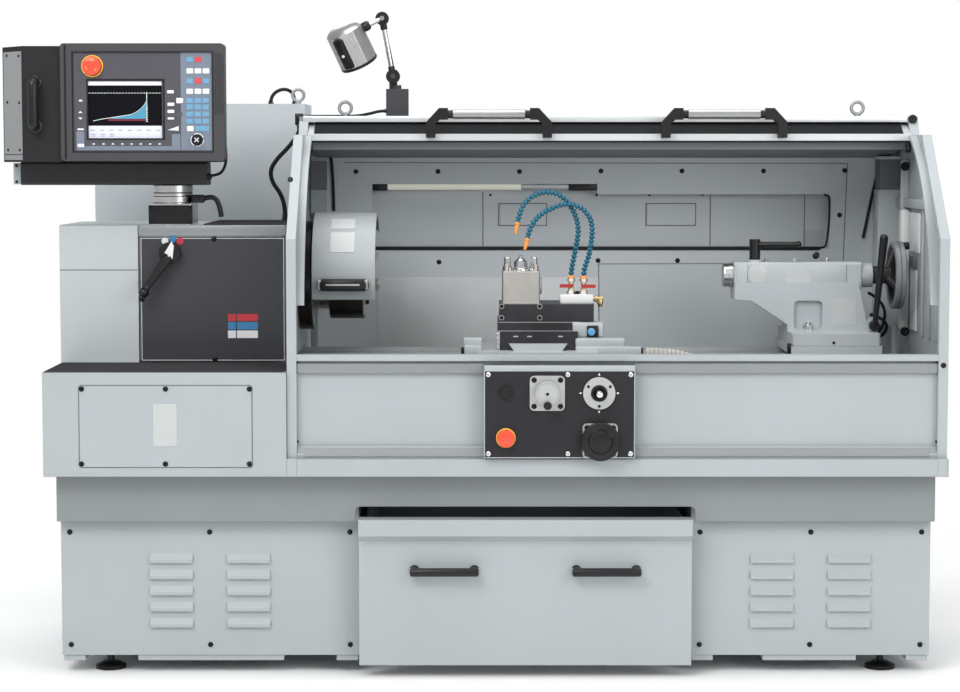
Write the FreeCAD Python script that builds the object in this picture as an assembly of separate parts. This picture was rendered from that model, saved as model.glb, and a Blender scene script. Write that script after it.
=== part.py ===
import FreeCAD, Part
import math
import os
from FreeCAD import Vector

os.makedirs("parts", exist_ok=True)

# All sizes are in millimetres. X runs along the bed to the tailstock end, -Y is the operator's side, Z is up.

# Overall envelope
overall_length = 2644.0
overall_depth = 1330.0
front_overhang = 80.0        # crank knob ahead of the chip pan's lip
lip_length = 2508.0
lip_right = overall_length / 2
lip_left = lip_right - lip_length
lip_front = -overall_depth / 2 + front_overhang

# Clearances
slide_gap = 0.2              # between sliding faces
turn_gap = 0.05              # radial, in running fits
panel_gap = 0.3              # between a moving cover and what it passes
cover_gap = 3.0              # round openings that a piece passes through

# Floor, pedestals, chip pan
foot_height = 50.0
foot_radius = 43.0
foot_stud_radius = 10.0
foot_inset_x = 126.0
foot_inset_y = 70.0
pedestal_height = 436.0
pedestal_sheet = 4.0
pedestal_front = 100.0       # behind the lip's front
pedestal_back = 60.0         # ahead of the lip's back
left_pedestal_length = 839.0
right_pedestal_length = 674.0
pedestal_inset = 29.0
pedestal_tab_height = 16.0
pedestal_tab_length = 60.0
left_tab_bar = 412.0
right_tab_bar = 264.0
pan_sheet = 4.0
pan_skirt = 53.0
pan_wall = 81.0
pan_side_inset = 25.0
pan_front_inset = 60.0
pan_back_inset = 35.0
lip_height = 49.0
lip_depth = 960.0
lip_sheet = 3.0

louvre_width = 122.0
louvre_height = 26.0
louvre_depth = 9.0
louvre_pitch = 46.0
louvre_rows = 5
louvre_column_pitch = 218.0
louvre_first_height = 80.0  # lowest louvre above the pedestal's underside

pan_floor = foot_height + pedestal_height
pan_floor_top = pan_floor + pan_sheet
ring_top = pan_floor_top + pan_wall + pan_sheet
lip_top = ring_top - pan_sheet + lip_height
lip_back = lip_front + lip_depth
band_left = lip_left + pan_side_inset
band_right = lip_right - pan_side_inset
band_front = lip_front + pan_front_inset
band_back = lip_back - pan_back_inset
left_pedestal_x0 = lip_left + pedestal_inset
left_pedestal_x1 = left_pedestal_x0 + left_pedestal_length
right_pedestal_x1 = lip_right - pedestal_inset
right_pedestal_x0 = right_pedestal_x1 - right_pedestal_length
pedestal_y0 = lip_front + pedestal_front
pedestal_y1 = lip_back - pedestal_back

# Chip drawer
drawer_side_gap = 3.0
drawer_floor_gap = 34.0
drawer_front_height = 353.0
drawer_bevel = 16.0
drawer_flange_height = 46.0
drawer_front_set = 36.0      # front face behind the lip's front
drawer_flange_set = 10.0
drawer_depth = 760.0
drawer_box_height = 250.0
drawer_sheet = 3.0
runner_width = 18.0
runner_height = 12.0
runner_drop = 60.0           # runner's top below the drawer box's rim
notch_height = 42.0
chute_length = 600.0
chute_width = 640.0
drawer_handle_length = 190.0
drawer_handle_spacing = 452.0
drawer_handle_drop = 84.0
drawer_handle_reach = 34.0
drawer_handle_radius = 11.0

drawer_x0 = left_pedestal_x1 + drawer_side_gap
drawer_x1 = right_pedestal_x0 - drawer_side_gap
drawer_front_y = lip_front + drawer_front_set
drawer_top = drawer_floor_gap + drawer_front_height + drawer_bevel + drawer_flange_height

# Bed, headstock, spindle line
bed_depth_set = 325.0
bed_width = 350.0
bed_height = 380.0
bed_wall = 34.0
bed_flange = 46.0
bed_end_gap = 42.0           # to the right end guard
vee_height = 12.0
vee_width = 34.0
spindle_height = 236.0       # above the bed's top
spindle_depth_set = 500.0
head_length = 427.0
head_depth = 400.0
head_depth_set = 305.0
head_height = 389.0
head_wall = 22.0
head_cover = 9.0
nose_collar_length = 38.0
nose_collar_radius = 155.0
nose_reach = 68.0            # from the casting to the chuck's side of the collar
gear_cover_length = 226.0
gear_cover_sheet = 3.0

bed_y0 = lip_front + bed_depth_set
bed_y1 = bed_y0 + bed_width
bed_top = pan_floor_top + bed_height
spindle_y = lip_front + spindle_depth_set
spindle_z = bed_top + spindle_height
head_x0 = lip_left + gear_cover_length
head_x1 = head_x0 + head_length
head_y0 = lip_front + head_depth_set
head_y1 = head_y0 + head_depth
head_top = bed_top + head_height
nose_x = head_x1 + nose_reach

spindle_radius = 60.0
spindle_bore = 26.0
spindle_rear_reach = 170.0
bearing_outer = 90.0
bearing_width = 46.0
spindle_pulley_radius = 110.0
pulley_width = 46.0
motor_pulley_radius = 70.0
belt_thickness = 9.0
motor_radius = 112.0
motor_length = 330.0
motor_height = 220.0         # shaft above the pedestal's underside
motor_gap = 60.0

chuck_radius = 127.0
chuck_length = 104.0
adapter_radius = 100.0
adapter_length = 43.0
jaw_width = 24.0
jaw_inner = 42.0
jaw_outer = 112.0
jaw_slot_depth = 34.0
jaw_reach = 38.0
chuck_bore = 32.0
chuck_chamfer = 5.0
chuck_key_radius = 8.0

guard_radius = 185.0
guard_sheet = 3.0
guard_rim = 22.0
guard_length = 183.0
guard_start = 45.0           # angles round the spindle, from the rear over the top
guard_end = 200.0
guard_rod_radius = 9.0

# Left front feed box
feed_box_length = 674.0
feed_box_depth = 302.0
feed_box_top = 861.0
feed_box_bottom = 579.0
feed_box_sheet = 3.0

# Guards
end_guard_width = 27.0
end_guard_sheet = 3.0
end_guard_set = 12.0
end_guard_strip = 26.0
end_guard_straight = 1229.0
end_guard_shoulder = 1518.0
end_guard_top = 1560.0
guard_slope_set = 312.0
guard_step_set = 500.0
roof_set = 533.0
guard_back_drop = 150.0
left_guard_set = 46.0            # from the spindle nose back to the left guard's outer face
front_rail_top = 909.0
front_rail_height = 17.0
front_rail_depth = 33.0
front_bevel_top = 653.0
front_panel_set = 20.0
arm_slot_height = 18.0
arm_slot_rise = 4.0
back_wall_set = 880.0
back_wall_top = 1451.0
window_left = -311.0
window_right = 1111.0
window_low = 1170.0
window_high = 1370.0
window_step = 32.0
window_step_set = 700.0
window_tray_lap = 24.0
window_depth = 56.0
inner_roof_front = 505.0
inner_roof_top = 1500.0
roof_thickness = 13.0
roof_depth = 330.0
guard_top_flat = 325.0

right_guard_x1 = lip_right - lip_sheet
right_guard_x0 = right_guard_x1 - end_guard_width
left_guard_x = nose_x - left_guard_set
left_guard_x1 = left_guard_x + end_guard_width
guard_y = lip_front + end_guard_set
bed_x0 = head_x0
bed_x1 = right_guard_x0 - bed_end_gap

# Hood, an arc shell about an axis along X
hood_axis_set = 640.0
hood_axis_z = 960.0
hood_radius = 596.0
hood_band = 12.0
hood_angle_front = 99.0
hood_angle_back = 19.0
hood_side_gap = 2.0
hood_side_band = 52.0
rail_set = 478.0
rail_z = 1512.0
rail_size = 20.0
window_sheet = 5.0
track_size = 12.0
handle_spacing = 688.0
handle_first = -134.0        # first foot of the left handle
handle_length = 368.0
handle_reach = 61.0
handle_foot = 27.0
handle_arm = 64.0

hood_axis_y = lip_front + hood_axis_set
hood_x0 = left_guard_x1 + hood_side_gap
hood_x1 = right_guard_x0 - hood_side_gap

# Carriage, apron and control panel
saddle_left = 13.0
saddle_length = 352.0
saddle_height = 14.0
apron_height = 218.0
apron_thickness = 60.0
panel_left = 35.0
panel_length = 416.0
panel_height = 256.0
panel_bottom = 626.0
panel_thickness = 30.0
panel_set = 2.0              # behind it, to the front guard
panel_arm_height = 10.0
panel_arm_length = 180.0
wheel_flange = 96.0
wheel_flange_thickness = 5.0
carriage_wheel_radius = 52.0
cross_wheel_radius = 34.0
wheel_thickness = 16.0
wheel_stem = 10.0
jog_ring_radius = 44.0
stop_radius = 24.0
stop_travel = 5.0
button_radius = 15.0
button_travel = 3.0

saddle_y0 = lip_front + 310.0
saddle_y1 = lip_front + 690.0
saddle_top = bed_top + vee_height + saddle_height
panel_back = guard_y - panel_set
panel_front = panel_back - panel_thickness
panel_top = panel_bottom + panel_height

# Cross slide stack and tool block
cross_left = 76.0
cross_width = 231.0
cross_depth = 300.0
cross_set = 330.0
dovetail_height = 20.0
dovetail_root = 140.0
dovetail_width = 170.0
cross_height = 46.0
step_height = 27.0
block_height = 50.0
block_length = 275.0
post_size = 110.0
post_height = 96.0
post_stud_radius = 9.0
manifold_length = 94.0
manifold_height = 26.0
manifold_depth = 40.0
valve_radius = 6.5
hose_radius = 7.5
hose_groove = 6.0
hose_bore = 3.5
hose_pitch = 12.0

# Tailstock
tail_guard_set = 368.0           # from the right guard back to the base's left end
tail_base_length = 264.0
tail_base_height = 74.0
tail_barrel_half = 40.0
tail_barrel_overhang = 152.0
tail_barrel_length = 375.0
tail_flange_half = 56.0
tail_flange_drop = 70.0
quill_radius = 34.0
quill_reach = 27.0
quill_travel = 100.0
tail_wheel_radius = 100.0
tail_wheel_set = 109.0
tail_wheel_rim = 12.0
tail_wheel_dish = 34.0          # hub's face behind the rim's middle
lock_post_radius = 16.0

# Pendant
pendant_front_set = 100.0
pendant_left = -1142.0
pendant_width = 455.0
pendant_height = 326.0
pendant_bottom = 1443.0
pendant_depth = 60.0
case_left = -1248.0
case_front_set = 112.0
case_depth = 288.0
case_bottom = 1440.0
case_top = 1762.0
pendant_pin_radius = 20.0
pendant_pin_height = 20.0
arm_left = -1296.0
arm_length = 534.0
arm_height = 66.0
arm_width = 110.0
arm_front_set = 315.0
swivel_x = -866.0
swivel_radius = 58.0
post_length = 122.0
post_depth = 160.0
post_height_above = 61.0

# Electrical cabinet and top fittings
cabinet_right = -525.0
cabinet_top = 1620.0
cabinet_bottom = 571.0
cabinet_sheet = 3.0
eye_ring_radius = 18.0
eye_wire_radius = 5.0
eye_shank = 9.0
lamp_x = -224.0
lamp_set = 640.0
lamp_pin_radius = 7.0
lamp_drum_radius = 55.0
lamp_drum_length = 110.0
lamp_mouth_rim = 5.0
lamp_mouth_depth = 14.0
lamp_drum_offset = Vector(-92, -20, -82)
lamp_knuckle_offset = Vector(-48, -20, -24)
lamp_axis = Vector(0.40, 0.30, -0.866).normalize()

tail_left = right_guard_x0 - tail_guard_set
tail_barrel_left = tail_left - tail_barrel_overhang
tail_barrel_right = tail_barrel_left + tail_barrel_length
tail_wheel_x = tail_barrel_right + tail_wheel_set
arm_bottom = case_bottom - arm_height - slide_gap
roof_top = end_guard_top + roof_thickness
cabinet_back = overall_depth / 2
swivel_y = lip_front + arm_front_set + arm_width / 2

# Places that several pieces share
drawer_rim = drawer_top - drawer_sheet
belt_x0 = head_x0 - spindle_rear_reach + 10
bed_mid = (bed_y0 + bed_y1) / 2
screw_y = saddle_y0 - apron_thickness / 2
screw_z = bed_top - 150
screw_radius = 16.0
cross_middle = cross_left + cross_width / 2
block_top = saddle_top + slide_gap + cross_height + 8 + step_height + block_height
block_x1 = cross_left + 4 + block_length
post_x0 = cross_left + 12
post_y0 = lip_front + cross_set + 40
manifold_x = block_x1 - manifold_length - 2
manifold_y = lip_front + cross_set + 70
valve_top = block_top + manifold_height + 52
hose_feet = (
    Vector(manifold_x + 32, manifold_y + 29, valve_top),
    Vector(manifold_x + 68, manifold_y + 11, valve_top),
)
tail_base_top = bed_top + slide_gap + tail_base_height
lock_x = tail_barrel_left + 63
clamp_x = tail_left + tail_base_length - 12
clamp_y = lip_front + 400
clamp_z = tail_base_top + 18

# Fittings on the control panel, from its left lower corner
cross_wheel_place = (panel_left + 174, panel_bottom + 180)
jog_place = (panel_left + 317, panel_bottom + 180)
carriage_wheel_place = (panel_left + 320, panel_bottom + 48)
carriage_knob_length = (front_overhang - (lip_front - panel_front) - wheel_flange_thickness - panel_gap
                        - wheel_stem - wheel_thickness)
button_place = (panel_left + 60, panel_bottom + 182)
stop_place = (panel_left + 60, panel_bottom + 56)
jog_ball = 12.0
button_stem = 6.0
stop_stem = 9.0
pendant_pivot = (-1018.0, swivel_y - 12)
pendant_stop_place = (pendant_left + 89, pendant_bottom + 263)
dial_place = (pendant_left + 379, pendant_bottom + 59)
eye_places = (
    (-381.0, lip_front + 650, roof_top),
    (1158.0, lip_front + 650, roof_top),
    (cabinet_right - 24, lip_back + 40, cabinet_top),
)
lamp_low = Vector(lamp_x - 13, lip_front + lamp_set, roof_top + 122)
lamp_high = Vector(lamp_x - 45, lip_front + lamp_set, roof_top + 294)

# Routes of the coolant hoses above their valves: X along the bed and height, chosen by hand
hose_1_route = ((0, 0), (0, 20), (13, 80), (22, 132), (15, 173), (-6, 214), (-38, 243), (-79, 249), (-120, 233),
                (-149, 200), (-157, 158))
hose_2_route = ((0, 0), (0, 20), (15, 60), (23, 106), (25, 147), (17, 176), (-7, 203), (-48, 215), (-89, 203),
                (-130, 180), (-157, 147), (-165, 112))

# Routes of the lines held at both ends, from their first end, chosen by hand
guard_hose_start = (left_guard_x - 10, lip_front + 680, end_guard_top - 8)
guard_hose_route = ((0, 0, 0), (0, 0, -22), (-17, 0, -47), (-39, 0, -74), (-71, 0, -105), (-91, 0, -140),
                    (-83, 0, -177), (-59, 0, -207), (-45, 0, -251))
conduit_start = (cabinet_right - 112, lip_back + 60, cabinet_top)
guard_hose_end = (-46, 0, head_top - guard_hose_start[2])
guard_hose_radius = 6.5
conduit_radius = 5.5
lamp_lead_radius = 3.5
conduit_route = (
    (0, 0, 0), (0, 0, 18), (12, 0, 36), (31, 0, 46),
    (50, 0, 47), (67, 0, 38), (75, 0, 20), (75, 0, 0),
)
lamp_lead_start = (lamp_x - 33, lip_front + lamp_set + 4, roof_top + 19)
lamp_lead_route = ((0, 0, 0), (-20, 0, 0), (-50, 4, -8), (-88, 16, -15), (-135, 27, -15.3), (-180, 33, -15.3),
                   (-214, 36, -15.3), (-241, 36, -15.3))

AXIS_X = Vector(1, 0, 0)
AXIS_Y = Vector(0, 1, 0)
AXIS_Z = Vector(0, 0, 1)


def box(x0, x1, y0, y1, z0, z1):
    return Part.makeBox(x1 - x0, y1 - y0, z1 - z0, Vector(x0, y0, z0))


def rod(radius, start, end):
    axis = end - start
    return Part.makeCylinder(radius, axis.Length, start, axis)


def cone(radius_start, radius_end, start, end):
    axis = end - start
    return Part.makeCone(radius_start, radius_end, axis.Length, start, axis)


def ball(radius, centre):
    return Part.makeSphere(radius, centre)


def join(shapes):
    if len(shapes) == 1:
        return shapes[0]
    return shapes[0].multiFuse(shapes[1:]).removeSplitter()


def cut(shape, tools):
    return shape.cut(tools).removeSplitter()


def prism_x(points, x0, x1):
    corners = [Vector(x0, y, z) for y, z in points]
    face = Part.Face(Part.makePolygon(corners + corners[:1]))
    return face.extrude(Vector(x1 - x0, 0, 0))


def prism_y(points, y0, y1):
    corners = [Vector(x, y0, z) for x, z in points]
    face = Part.Face(Part.makePolygon(corners + corners[:1]))
    return face.extrude(Vector(0, y1 - y0, 0))


def prism_z(points, z0, z1):
    corners = [Vector(x, y, z0) for x, y in points]
    face = Part.Face(Part.makePolygon(corners + corners[:1]))
    return face.extrude(Vector(0, 0, z1 - z0))


def rounded(shape, radius, axis):
    edges = []
    for edge in shape.Edges:
        along = edge.lastVertex().Point - edge.firstVertex().Point
        if along.Length > 1 and along.cross(axis).Length < 0.001 * along.Length:
            edges.append(edge)
    return shape.makeFillet(radius, edges)


def round_box(x0, x1, y0, y1, z0, z1, radius, axis):
    return rounded(box(x0, x1, y0, y1, z0, z1), radius, axis)


def in_plane(y, z, radius, degrees):
    angle = math.radians(degrees)
    return y + radius * math.cos(angle), z + radius * math.sin(angle)


def arc_band(y, z, inner, outer, first, last, x0, x1):
    """Ring sector about an axis along X; angles run from the rear over the top to the front."""
    middle = (first + last) / 2
    corners = {}
    for name, radius, degrees in (
        ("a", inner, first),
        ("b", inner, middle),
        ("c", inner, last),
        ("d", outer, last),
        ("e", outer, middle),
        ("f", outer, first),
    ):
        corners[name] = Vector(x0, *in_plane(y, z, radius, degrees))
    edges = [
        Part.Arc(corners["a"], corners["b"], corners["c"]).toShape(),
        Part.LineSegment(corners["c"], corners["d"]).toShape(),
        Part.Arc(corners["d"], corners["e"], corners["f"]).toShape(),
        Part.LineSegment(corners["f"], corners["a"]).toShape(),
    ]
    return Part.Face(Part.Wire(edges)).extrude(Vector(x1 - x0, 0, 0))


def cord_path(points, name):
    """Straight runs joined by tangent arcs, each as large as its two runs allow."""
    edges = []
    last = points[0]
    radii = []
    for before, here, after in zip(points, points[1:], points[2:]):
        back = (before - here).normalize()
        ahead = (after - here).normalize()
        turn = math.pi - back.getAngle(ahead)
        shorter = min((before - here).Length, (after - here).Length)
        reach = 0.45 * shorter
        radius = reach / math.tan(turn / 2)
        radii.append(radius)
        start = here + back * reach
        end = here + ahead * reach
        bisector = (back + ahead).normalize()
        middle = here + bisector * (radius / math.cos(turn / 2) - radius)
        edges.append(Part.LineSegment(last, start).toShape())
        edges.append(Part.Arc(start, middle, end).toShape())
        last = end
    edges.append(Part.LineSegment(last, points[-1]).toShape())
    print(name, "bend radii", [round(radius, 1) for radius in radii])
    return Part.Wire(edges)


def cord(points, radius, name):
    path = cord_path(points, name)
    circle = Part.makeCircle(radius, points[0], points[1] - points[0])
    tube = path.makePipeShell([Part.Wire(circle)], True, False)
    expected = math.pi * radius * radius * path.Length
    print(name, "volume over section times length", round(tube.Volume / expected, 4))
    return tube


def save(name, shapes):
    if not isinstance(shapes, list):
        shapes = [shapes]
    shape = shapes[0] if len(shapes) == 1 else Part.makeCompound(shapes)
    shape.exportStep("parts/" + name + ".step")
    print(name, "solids", len(shape.Solids), "valid", shape.isValid(), "volume", round(shape.Volume))


# Pedestals, feet and chip pan

def louvres(x0, x1, front, base):
    """Pressed louvres on a sheet that faces the front, open along their lower edge."""
    bumps = []
    slots = []
    middle = (x0 + x1) / 2
    for side in (-0.5, 0.5):
        centre = middle + side * louvre_column_pitch
        for row in range(louvre_rows):
            low = base + louvre_first_height + row * louvre_pitch
            left = centre - louvre_width / 2
            profile = [
                (front, low + louvre_height),
                (front - louvre_depth, low + louvre_height * 0.35),
                (front - louvre_depth, low),
                (front - louvre_depth + 1.5, low),
                (front, low + louvre_height * 0.75),
            ]
            bumps.append(prism_x(profile, left, left + louvre_width))
            slots.append(box(left + 2, left + louvre_width - 2, front - 1, front + pedestal_sheet + 1,
                             low + 2, low + louvre_height * 0.6))
    return bumps, slots


def pedestal(x0, x1, bar, runner, tunnel):
    shell = box(x0, x1, pedestal_y0, pedestal_y1, foot_height, pan_floor)
    sheet = pedestal_sheet
    hollow = box(x0 + sheet, x1 - sheet, pedestal_y0 + sheet, pedestal_y1 - sheet,
                 foot_height + sheet, pan_floor - sheet)
    tabs = []
    middle = (x0 + x1) / 2
    spans = (
        (x0 + sheet, x0 + sheet + pedestal_tab_length),
        (middle - bar / 2, middle + bar / 2),
        (x1 - sheet - pedestal_tab_length, x1 - sheet),
    )
    for y in (pedestal_y0 + sheet, pedestal_y1 - sheet - pedestal_tab_length):
        for left, right in spans:
            tabs.append(box(left, right, y, y + pedestal_tab_length,
                            foot_height - pedestal_tab_height, foot_height))
    bumps, slots = louvres(x0, x1, pedestal_y0, foot_height)
    return cut(join([shell, runner] + bumps + tabs), [hollow] + slots + tunnel)


def belt_tunnel(z0, z1):
    centre = belt_x0 + pulley_width / 2
    half = pulley_width / 2 + 10
    reach = spindle_pulley_radius + 24
    return box(centre - half, centre + half, spindle_y - reach, spindle_y + reach, z0, z1)


def levelling_feet():
    feet = []
    for x in (left_pedestal_x0 + foot_inset_x, right_pedestal_x1 - foot_inset_x):
        for y in (pedestal_y0 + foot_inset_y, pedestal_y1 - foot_inset_y):
            pad = rod(foot_radius, Vector(x, y, 0), Vector(x, y, 10))
            dome = cone(foot_radius, 22, Vector(x, y, 10), Vector(x, y, 20))
            stud = rod(foot_stud_radius, Vector(x, y, 18), Vector(x, y, foot_height))
            nut = rod(19, Vector(x, y, foot_height - 12), Vector(x, y, foot_height))
            feet.append(join([pad, dome, stud, nut]))
    return feet


def chip_pan():
    sheet = pan_sheet
    ring = ring_top - sheet
    band = box(band_left, band_right, band_front, band_back, pan_floor_top - pan_skirt, ring_top)
    lip = box(lip_left, lip_right, lip_front, lip_back, ring, lip_top)
    inner_lip = box(lip_left + lip_sheet, lip_right - lip_sheet, lip_front + lip_sheet,
                    lip_back - lip_sheet, ring_top, lip_top + 1)
    basin = box(band_left + sheet, band_right - sheet, band_front + sheet, band_back - sheet,
                pan_floor_top, ring_top + 1)
    under = box(band_left + sheet, band_right - sheet, band_front + sheet, band_back - sheet,
                pan_floor_top - pan_skirt - 1, pan_floor)
    notch = round_box(drawer_x0 - 10, drawer_x1 + 10, band_front - 1, band_front + sheet + 1,
                      pan_floor_top - pan_skirt - 60, pan_floor_top - pan_skirt + notch_height, 15, AXIS_Y)
    middle = (drawer_x0 + drawer_x1) / 2
    chute = box(middle - chute_length / 2, middle + chute_length / 2, bed_y0 - 60, bed_y0 - 60 + chute_width,
                pan_floor - 1, pan_floor_top + 1)
    skin = box(lip_left - 1, lip_left + feed_box_length, lip_front - 1, lip_front + feed_box_sheet,
               feed_box_bottom, lip_top + 1)
    pan = join([band, lip])
    tunnel = belt_tunnel(pan_floor - 1, pan_floor_top + 1)
    return cut(pan, [inner_lip, basin, under, notch, chute, skin, tunnel])


# Chip drawer

def drawer_runner(x0, x1):
    top = drawer_rim - runner_drop
    return box(x0, x1, pedestal_y0, drawer_front_y + drawer_depth, top - runner_height, top)


def pull_handle(x, z):
    y = drawer_front_y - drawer_handle_reach
    half = drawer_handle_length / 2 - 16
    bar = rod(drawer_handle_radius, Vector(x - half, y, z), Vector(x + half, y, z))
    ends = []
    for side in (-1, 1):
        end = Vector(x + side * half, y, z)
        foot = Vector(x + side * (half + 14), drawer_front_y, z)
        ends.append(ball(drawer_handle_radius, end))
        ends.append(rod(drawer_handle_radius * 0.8, end, foot))
    front_half = box(x - 150, x + 150, y - 60, drawer_front_y, z - 40, z + 40)
    return join([bar] + ends).common(front_half)


def chip_drawer():
    sheet = drawer_sheet
    low = drawer_floor_gap
    box_low = drawer_rim - drawer_box_height
    back = drawer_front_y + drawer_depth
    left = drawer_x0 + runner_width + 2 * drawer_side_gap
    right = drawer_x1 - runner_width - 2 * drawer_side_gap
    face_top = low + drawer_front_height
    face = [
        (drawer_front_y, low),
        (drawer_front_y, face_top),
        (lip_front + drawer_flange_set, face_top + drawer_bevel),
        (lip_front + drawer_flange_set, drawer_top),
        (drawer_front_y + 30, drawer_top),
        (drawer_front_y + 30, drawer_top - sheet),
        (lip_front + drawer_flange_set + sheet, drawer_top - sheet),
        (lip_front + drawer_flange_set + sheet, face_top + drawer_bevel),
        (drawer_front_y + sheet, face_top),
        (drawer_front_y + sheet, low),
    ]
    front = prism_x(face, drawer_x0, drawer_x1)
    tray = box(left, right, drawer_front_y, back, box_low, drawer_rim)
    hollow = box(left + sheet, right - sheet, drawer_front_y + sheet, back - sheet,
                 box_low + sheet, drawer_rim + 1)
    wing_low = drawer_rim - runner_drop + slide_gap
    wings = []
    outer_left = left_pedestal_x1 + 2 * drawer_side_gap
    outer_right = right_pedestal_x0 - 2 * drawer_side_gap
    for x0, x1 in ((outer_left, left + 1), (right - 1, outer_right)):
        wings.append(box(x0, x1, pedestal_y0 + 6, back, wing_low, wing_low + 5))
    middle = (drawer_x0 + drawer_x1) / 2
    z = face_top - drawer_handle_drop
    handles = [pull_handle(middle + side * drawer_handle_spacing / 2, z) for side in (-1, 1)]
    body = cut(join([front, tray] + wings), [hollow])
    return join([body] + handles)


# Bed, headstock and drive

def bed():
    top_low = bed_top - bed_flange
    pieces = [
        box(bed_x0, bed_x1, bed_y0, bed_y1, top_low, bed_top),
        box(bed_x0, bed_x1, bed_y0 + 26, bed_y0 + 26 + bed_wall, pan_floor_top, top_low),
        box(bed_x0, bed_x1, bed_y1 - 26 - bed_wall, bed_y1 - 26, pan_floor_top, top_low),
    ]
    for x0, x1 in ((bed_x0, left_pedestal_x1 - 60), (right_pedestal_x0 + 60, bed_x1)):
        pieces.append(box(x0, x1, bed_y0, bed_y1, pan_floor_top, pan_floor_top + 40))
    middle = (bed_y0 + bed_y1) / 2
    slot = box(head_x1 + 30, bed_x1 - 40, middle - 60, middle + 60, top_low - 1, bed_top + 1)
    ribs = []
    for number in range(5):
        x = head_x1 + 160 + number * 380
        if x + 30 < bed_x1:
            ribs.append(box(x, x + 30, bed_y0 + 30, bed_y1 - 30, pan_floor_top + 120, top_low - 60))
    vees = []
    for y in (bed_y0 + 40, bed_y1 - 40):
        profile = [(y - vee_width / 2, bed_top), (y, bed_top + vee_height), (y + vee_width / 2, bed_top)]
        vees.append(prism_x(profile, head_x1 + 10, bed_x1))
    body = cut(join(pieces), [slot])
    return join([body] + ribs + vees)


def feed_drive():
    y = screw_y
    z = screw_z
    screw = rod(screw_radius, Vector(head_x1 - 40, y, z), Vector(bed_x1 - 20, y, z))
    blocks = []
    for x in (head_x1 - 60, bed_x1 - 40):
        block = box(x, x + 40, y - 34, bed_y0 + 26, z - 34, z + 34)
        blocks.append(block)
    motor = round_box(head_x1 - 270, head_x1 - 90, y - 55, y + 42, z - 50, z + 50, 12, AXIS_X)
    shaft = rod(12, Vector(head_x1 - 90, y, z), Vector(head_x1 - 60, y, z))
    return join([screw] + blocks + [motor, shaft])


def headstock():
    shell = box(head_x0, head_x1, head_y0, head_y1, bed_top, head_top - head_cover)
    shell = rounded(shell, 14, AXIS_Z)
    lid = round_box(head_x0, head_x1, head_y0, head_y1, head_top - head_cover, head_top, 14, AXIS_Z)
    wall = head_wall
    hollow = box(head_x0 + 2 * wall, head_x1 - 2 * wall, head_y0 + wall, head_y1 - wall,
                 bed_top + wall, head_top - 2 * wall)
    collar = rod(nose_collar_radius, Vector(head_x1, spindle_y, spindle_z),
                 Vector(head_x1 + nose_reach, spindle_y, spindle_z))
    seat = rod(bearing_outer, Vector(head_x0 - 1, spindle_y, spindle_z),
               Vector(head_x1 + nose_reach + 1, spindle_y, spindle_z))
    return cut(join([shell, lid, collar]), [hollow, seat])


def spindle_bearings():
    rings = []
    for x in (head_x0, head_x1 + nose_reach - nose_collar_length - bearing_width):
        outer = rod(bearing_outer, Vector(x, spindle_y, spindle_z),
                    Vector(x + bearing_width, spindle_y, spindle_z))
        inner = rod(spindle_radius + turn_gap, Vector(x - 1, spindle_y, spindle_z),
                    Vector(x + bearing_width + 1, spindle_y, spindle_z))
        rings.append(outer.cut(inner))
    return rings


def spindle():
    start = Vector(head_x0 - spindle_rear_reach, spindle_y, spindle_z)
    end = Vector(nose_x - nose_collar_length + 4, spindle_y, spindle_z)
    face = Vector(nose_x + 4, spindle_y, spindle_z)
    shaft = rod(spindle_radius, start, end)
    flange = rod(bearing_outer - cover_gap, end, face)
    pulley = rod(spindle_pulley_radius, Vector(belt_x0, spindle_y, spindle_z),
                 Vector(belt_x0 + pulley_width, spindle_y, spindle_z))
    bore = rod(spindle_bore, start - AXIS_X, face + AXIS_X)
    return cut(join([shaft, flange, pulley]), [bore])


def jaw_directions():
    return [in_plane(0, 0, 1, degrees) for degrees in (90, 210, 330)]


def jaw_block(y, z, inner, outer, half_width, x0, x1):
    side = Vector(0, -z, y)
    out = Vector(0, y, z)
    centre = Vector(x0, spindle_y, spindle_z)
    corners = [
        centre + out * inner - side * half_width,
        centre + out * outer - side * half_width,
        centre + out * outer + side * half_width,
        centre + out * inner + side * half_width,
    ]
    return Part.Face(Part.makePolygon(corners + corners[:1])).extrude(Vector(x1 - x0, 0, 0))


def chuck():
    """Back plate and chuck body, each with the bore through it."""
    start = Vector(nose_x + 4, spindle_y, spindle_z)
    back = start + AXIS_X * adapter_length
    front = back + AXIS_X * chuck_length
    bore = rod(chuck_bore, start - AXIS_X, front + AXIS_X)
    adapter = rod(adapter_radius, start, back).cut(bore)
    body = rod(chuck_radius, back, front)
    body = body.makeChamfer(chuck_chamfer, [edge for edge in body.Edges if len(edge.Vertexes) == 1])
    tools = [bore]
    for y, z in jaw_directions():
        tools.append(jaw_block(y, z, 20, chuck_radius + 5, jaw_width / 2 + slide_gap,
                               front.x - jaw_slot_depth, front.x + 1))
    for degrees in (30, 150, 270):
        y, z = in_plane(spindle_y, spindle_z, chuck_radius - 30, degrees)
        y1, z1 = in_plane(spindle_y, spindle_z, chuck_radius + 1, degrees)
        middle = (back.x + front.x) / 2
        tools.append(rod(chuck_key_radius, Vector(middle, y, z), Vector(middle, y1, z1)))
    return [adapter, cut(body, tools)]


def jaw(number):
    y, z = jaw_directions()[number]
    front = nose_x + 4 + adapter_length + chuck_length
    base = jaw_block(y, z, jaw_inner, jaw_outer, jaw_width / 2, front - jaw_slot_depth + slide_gap, front)
    step = jaw_block(y, z, jaw_inner, jaw_outer - 24, jaw_width / 2, front, front + jaw_reach * 0.5)
    tip = jaw_block(y, z, jaw_inner, jaw_outer - 46, jaw_width / 2, front, front + jaw_reach)
    return join([base, step, tip])


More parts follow.
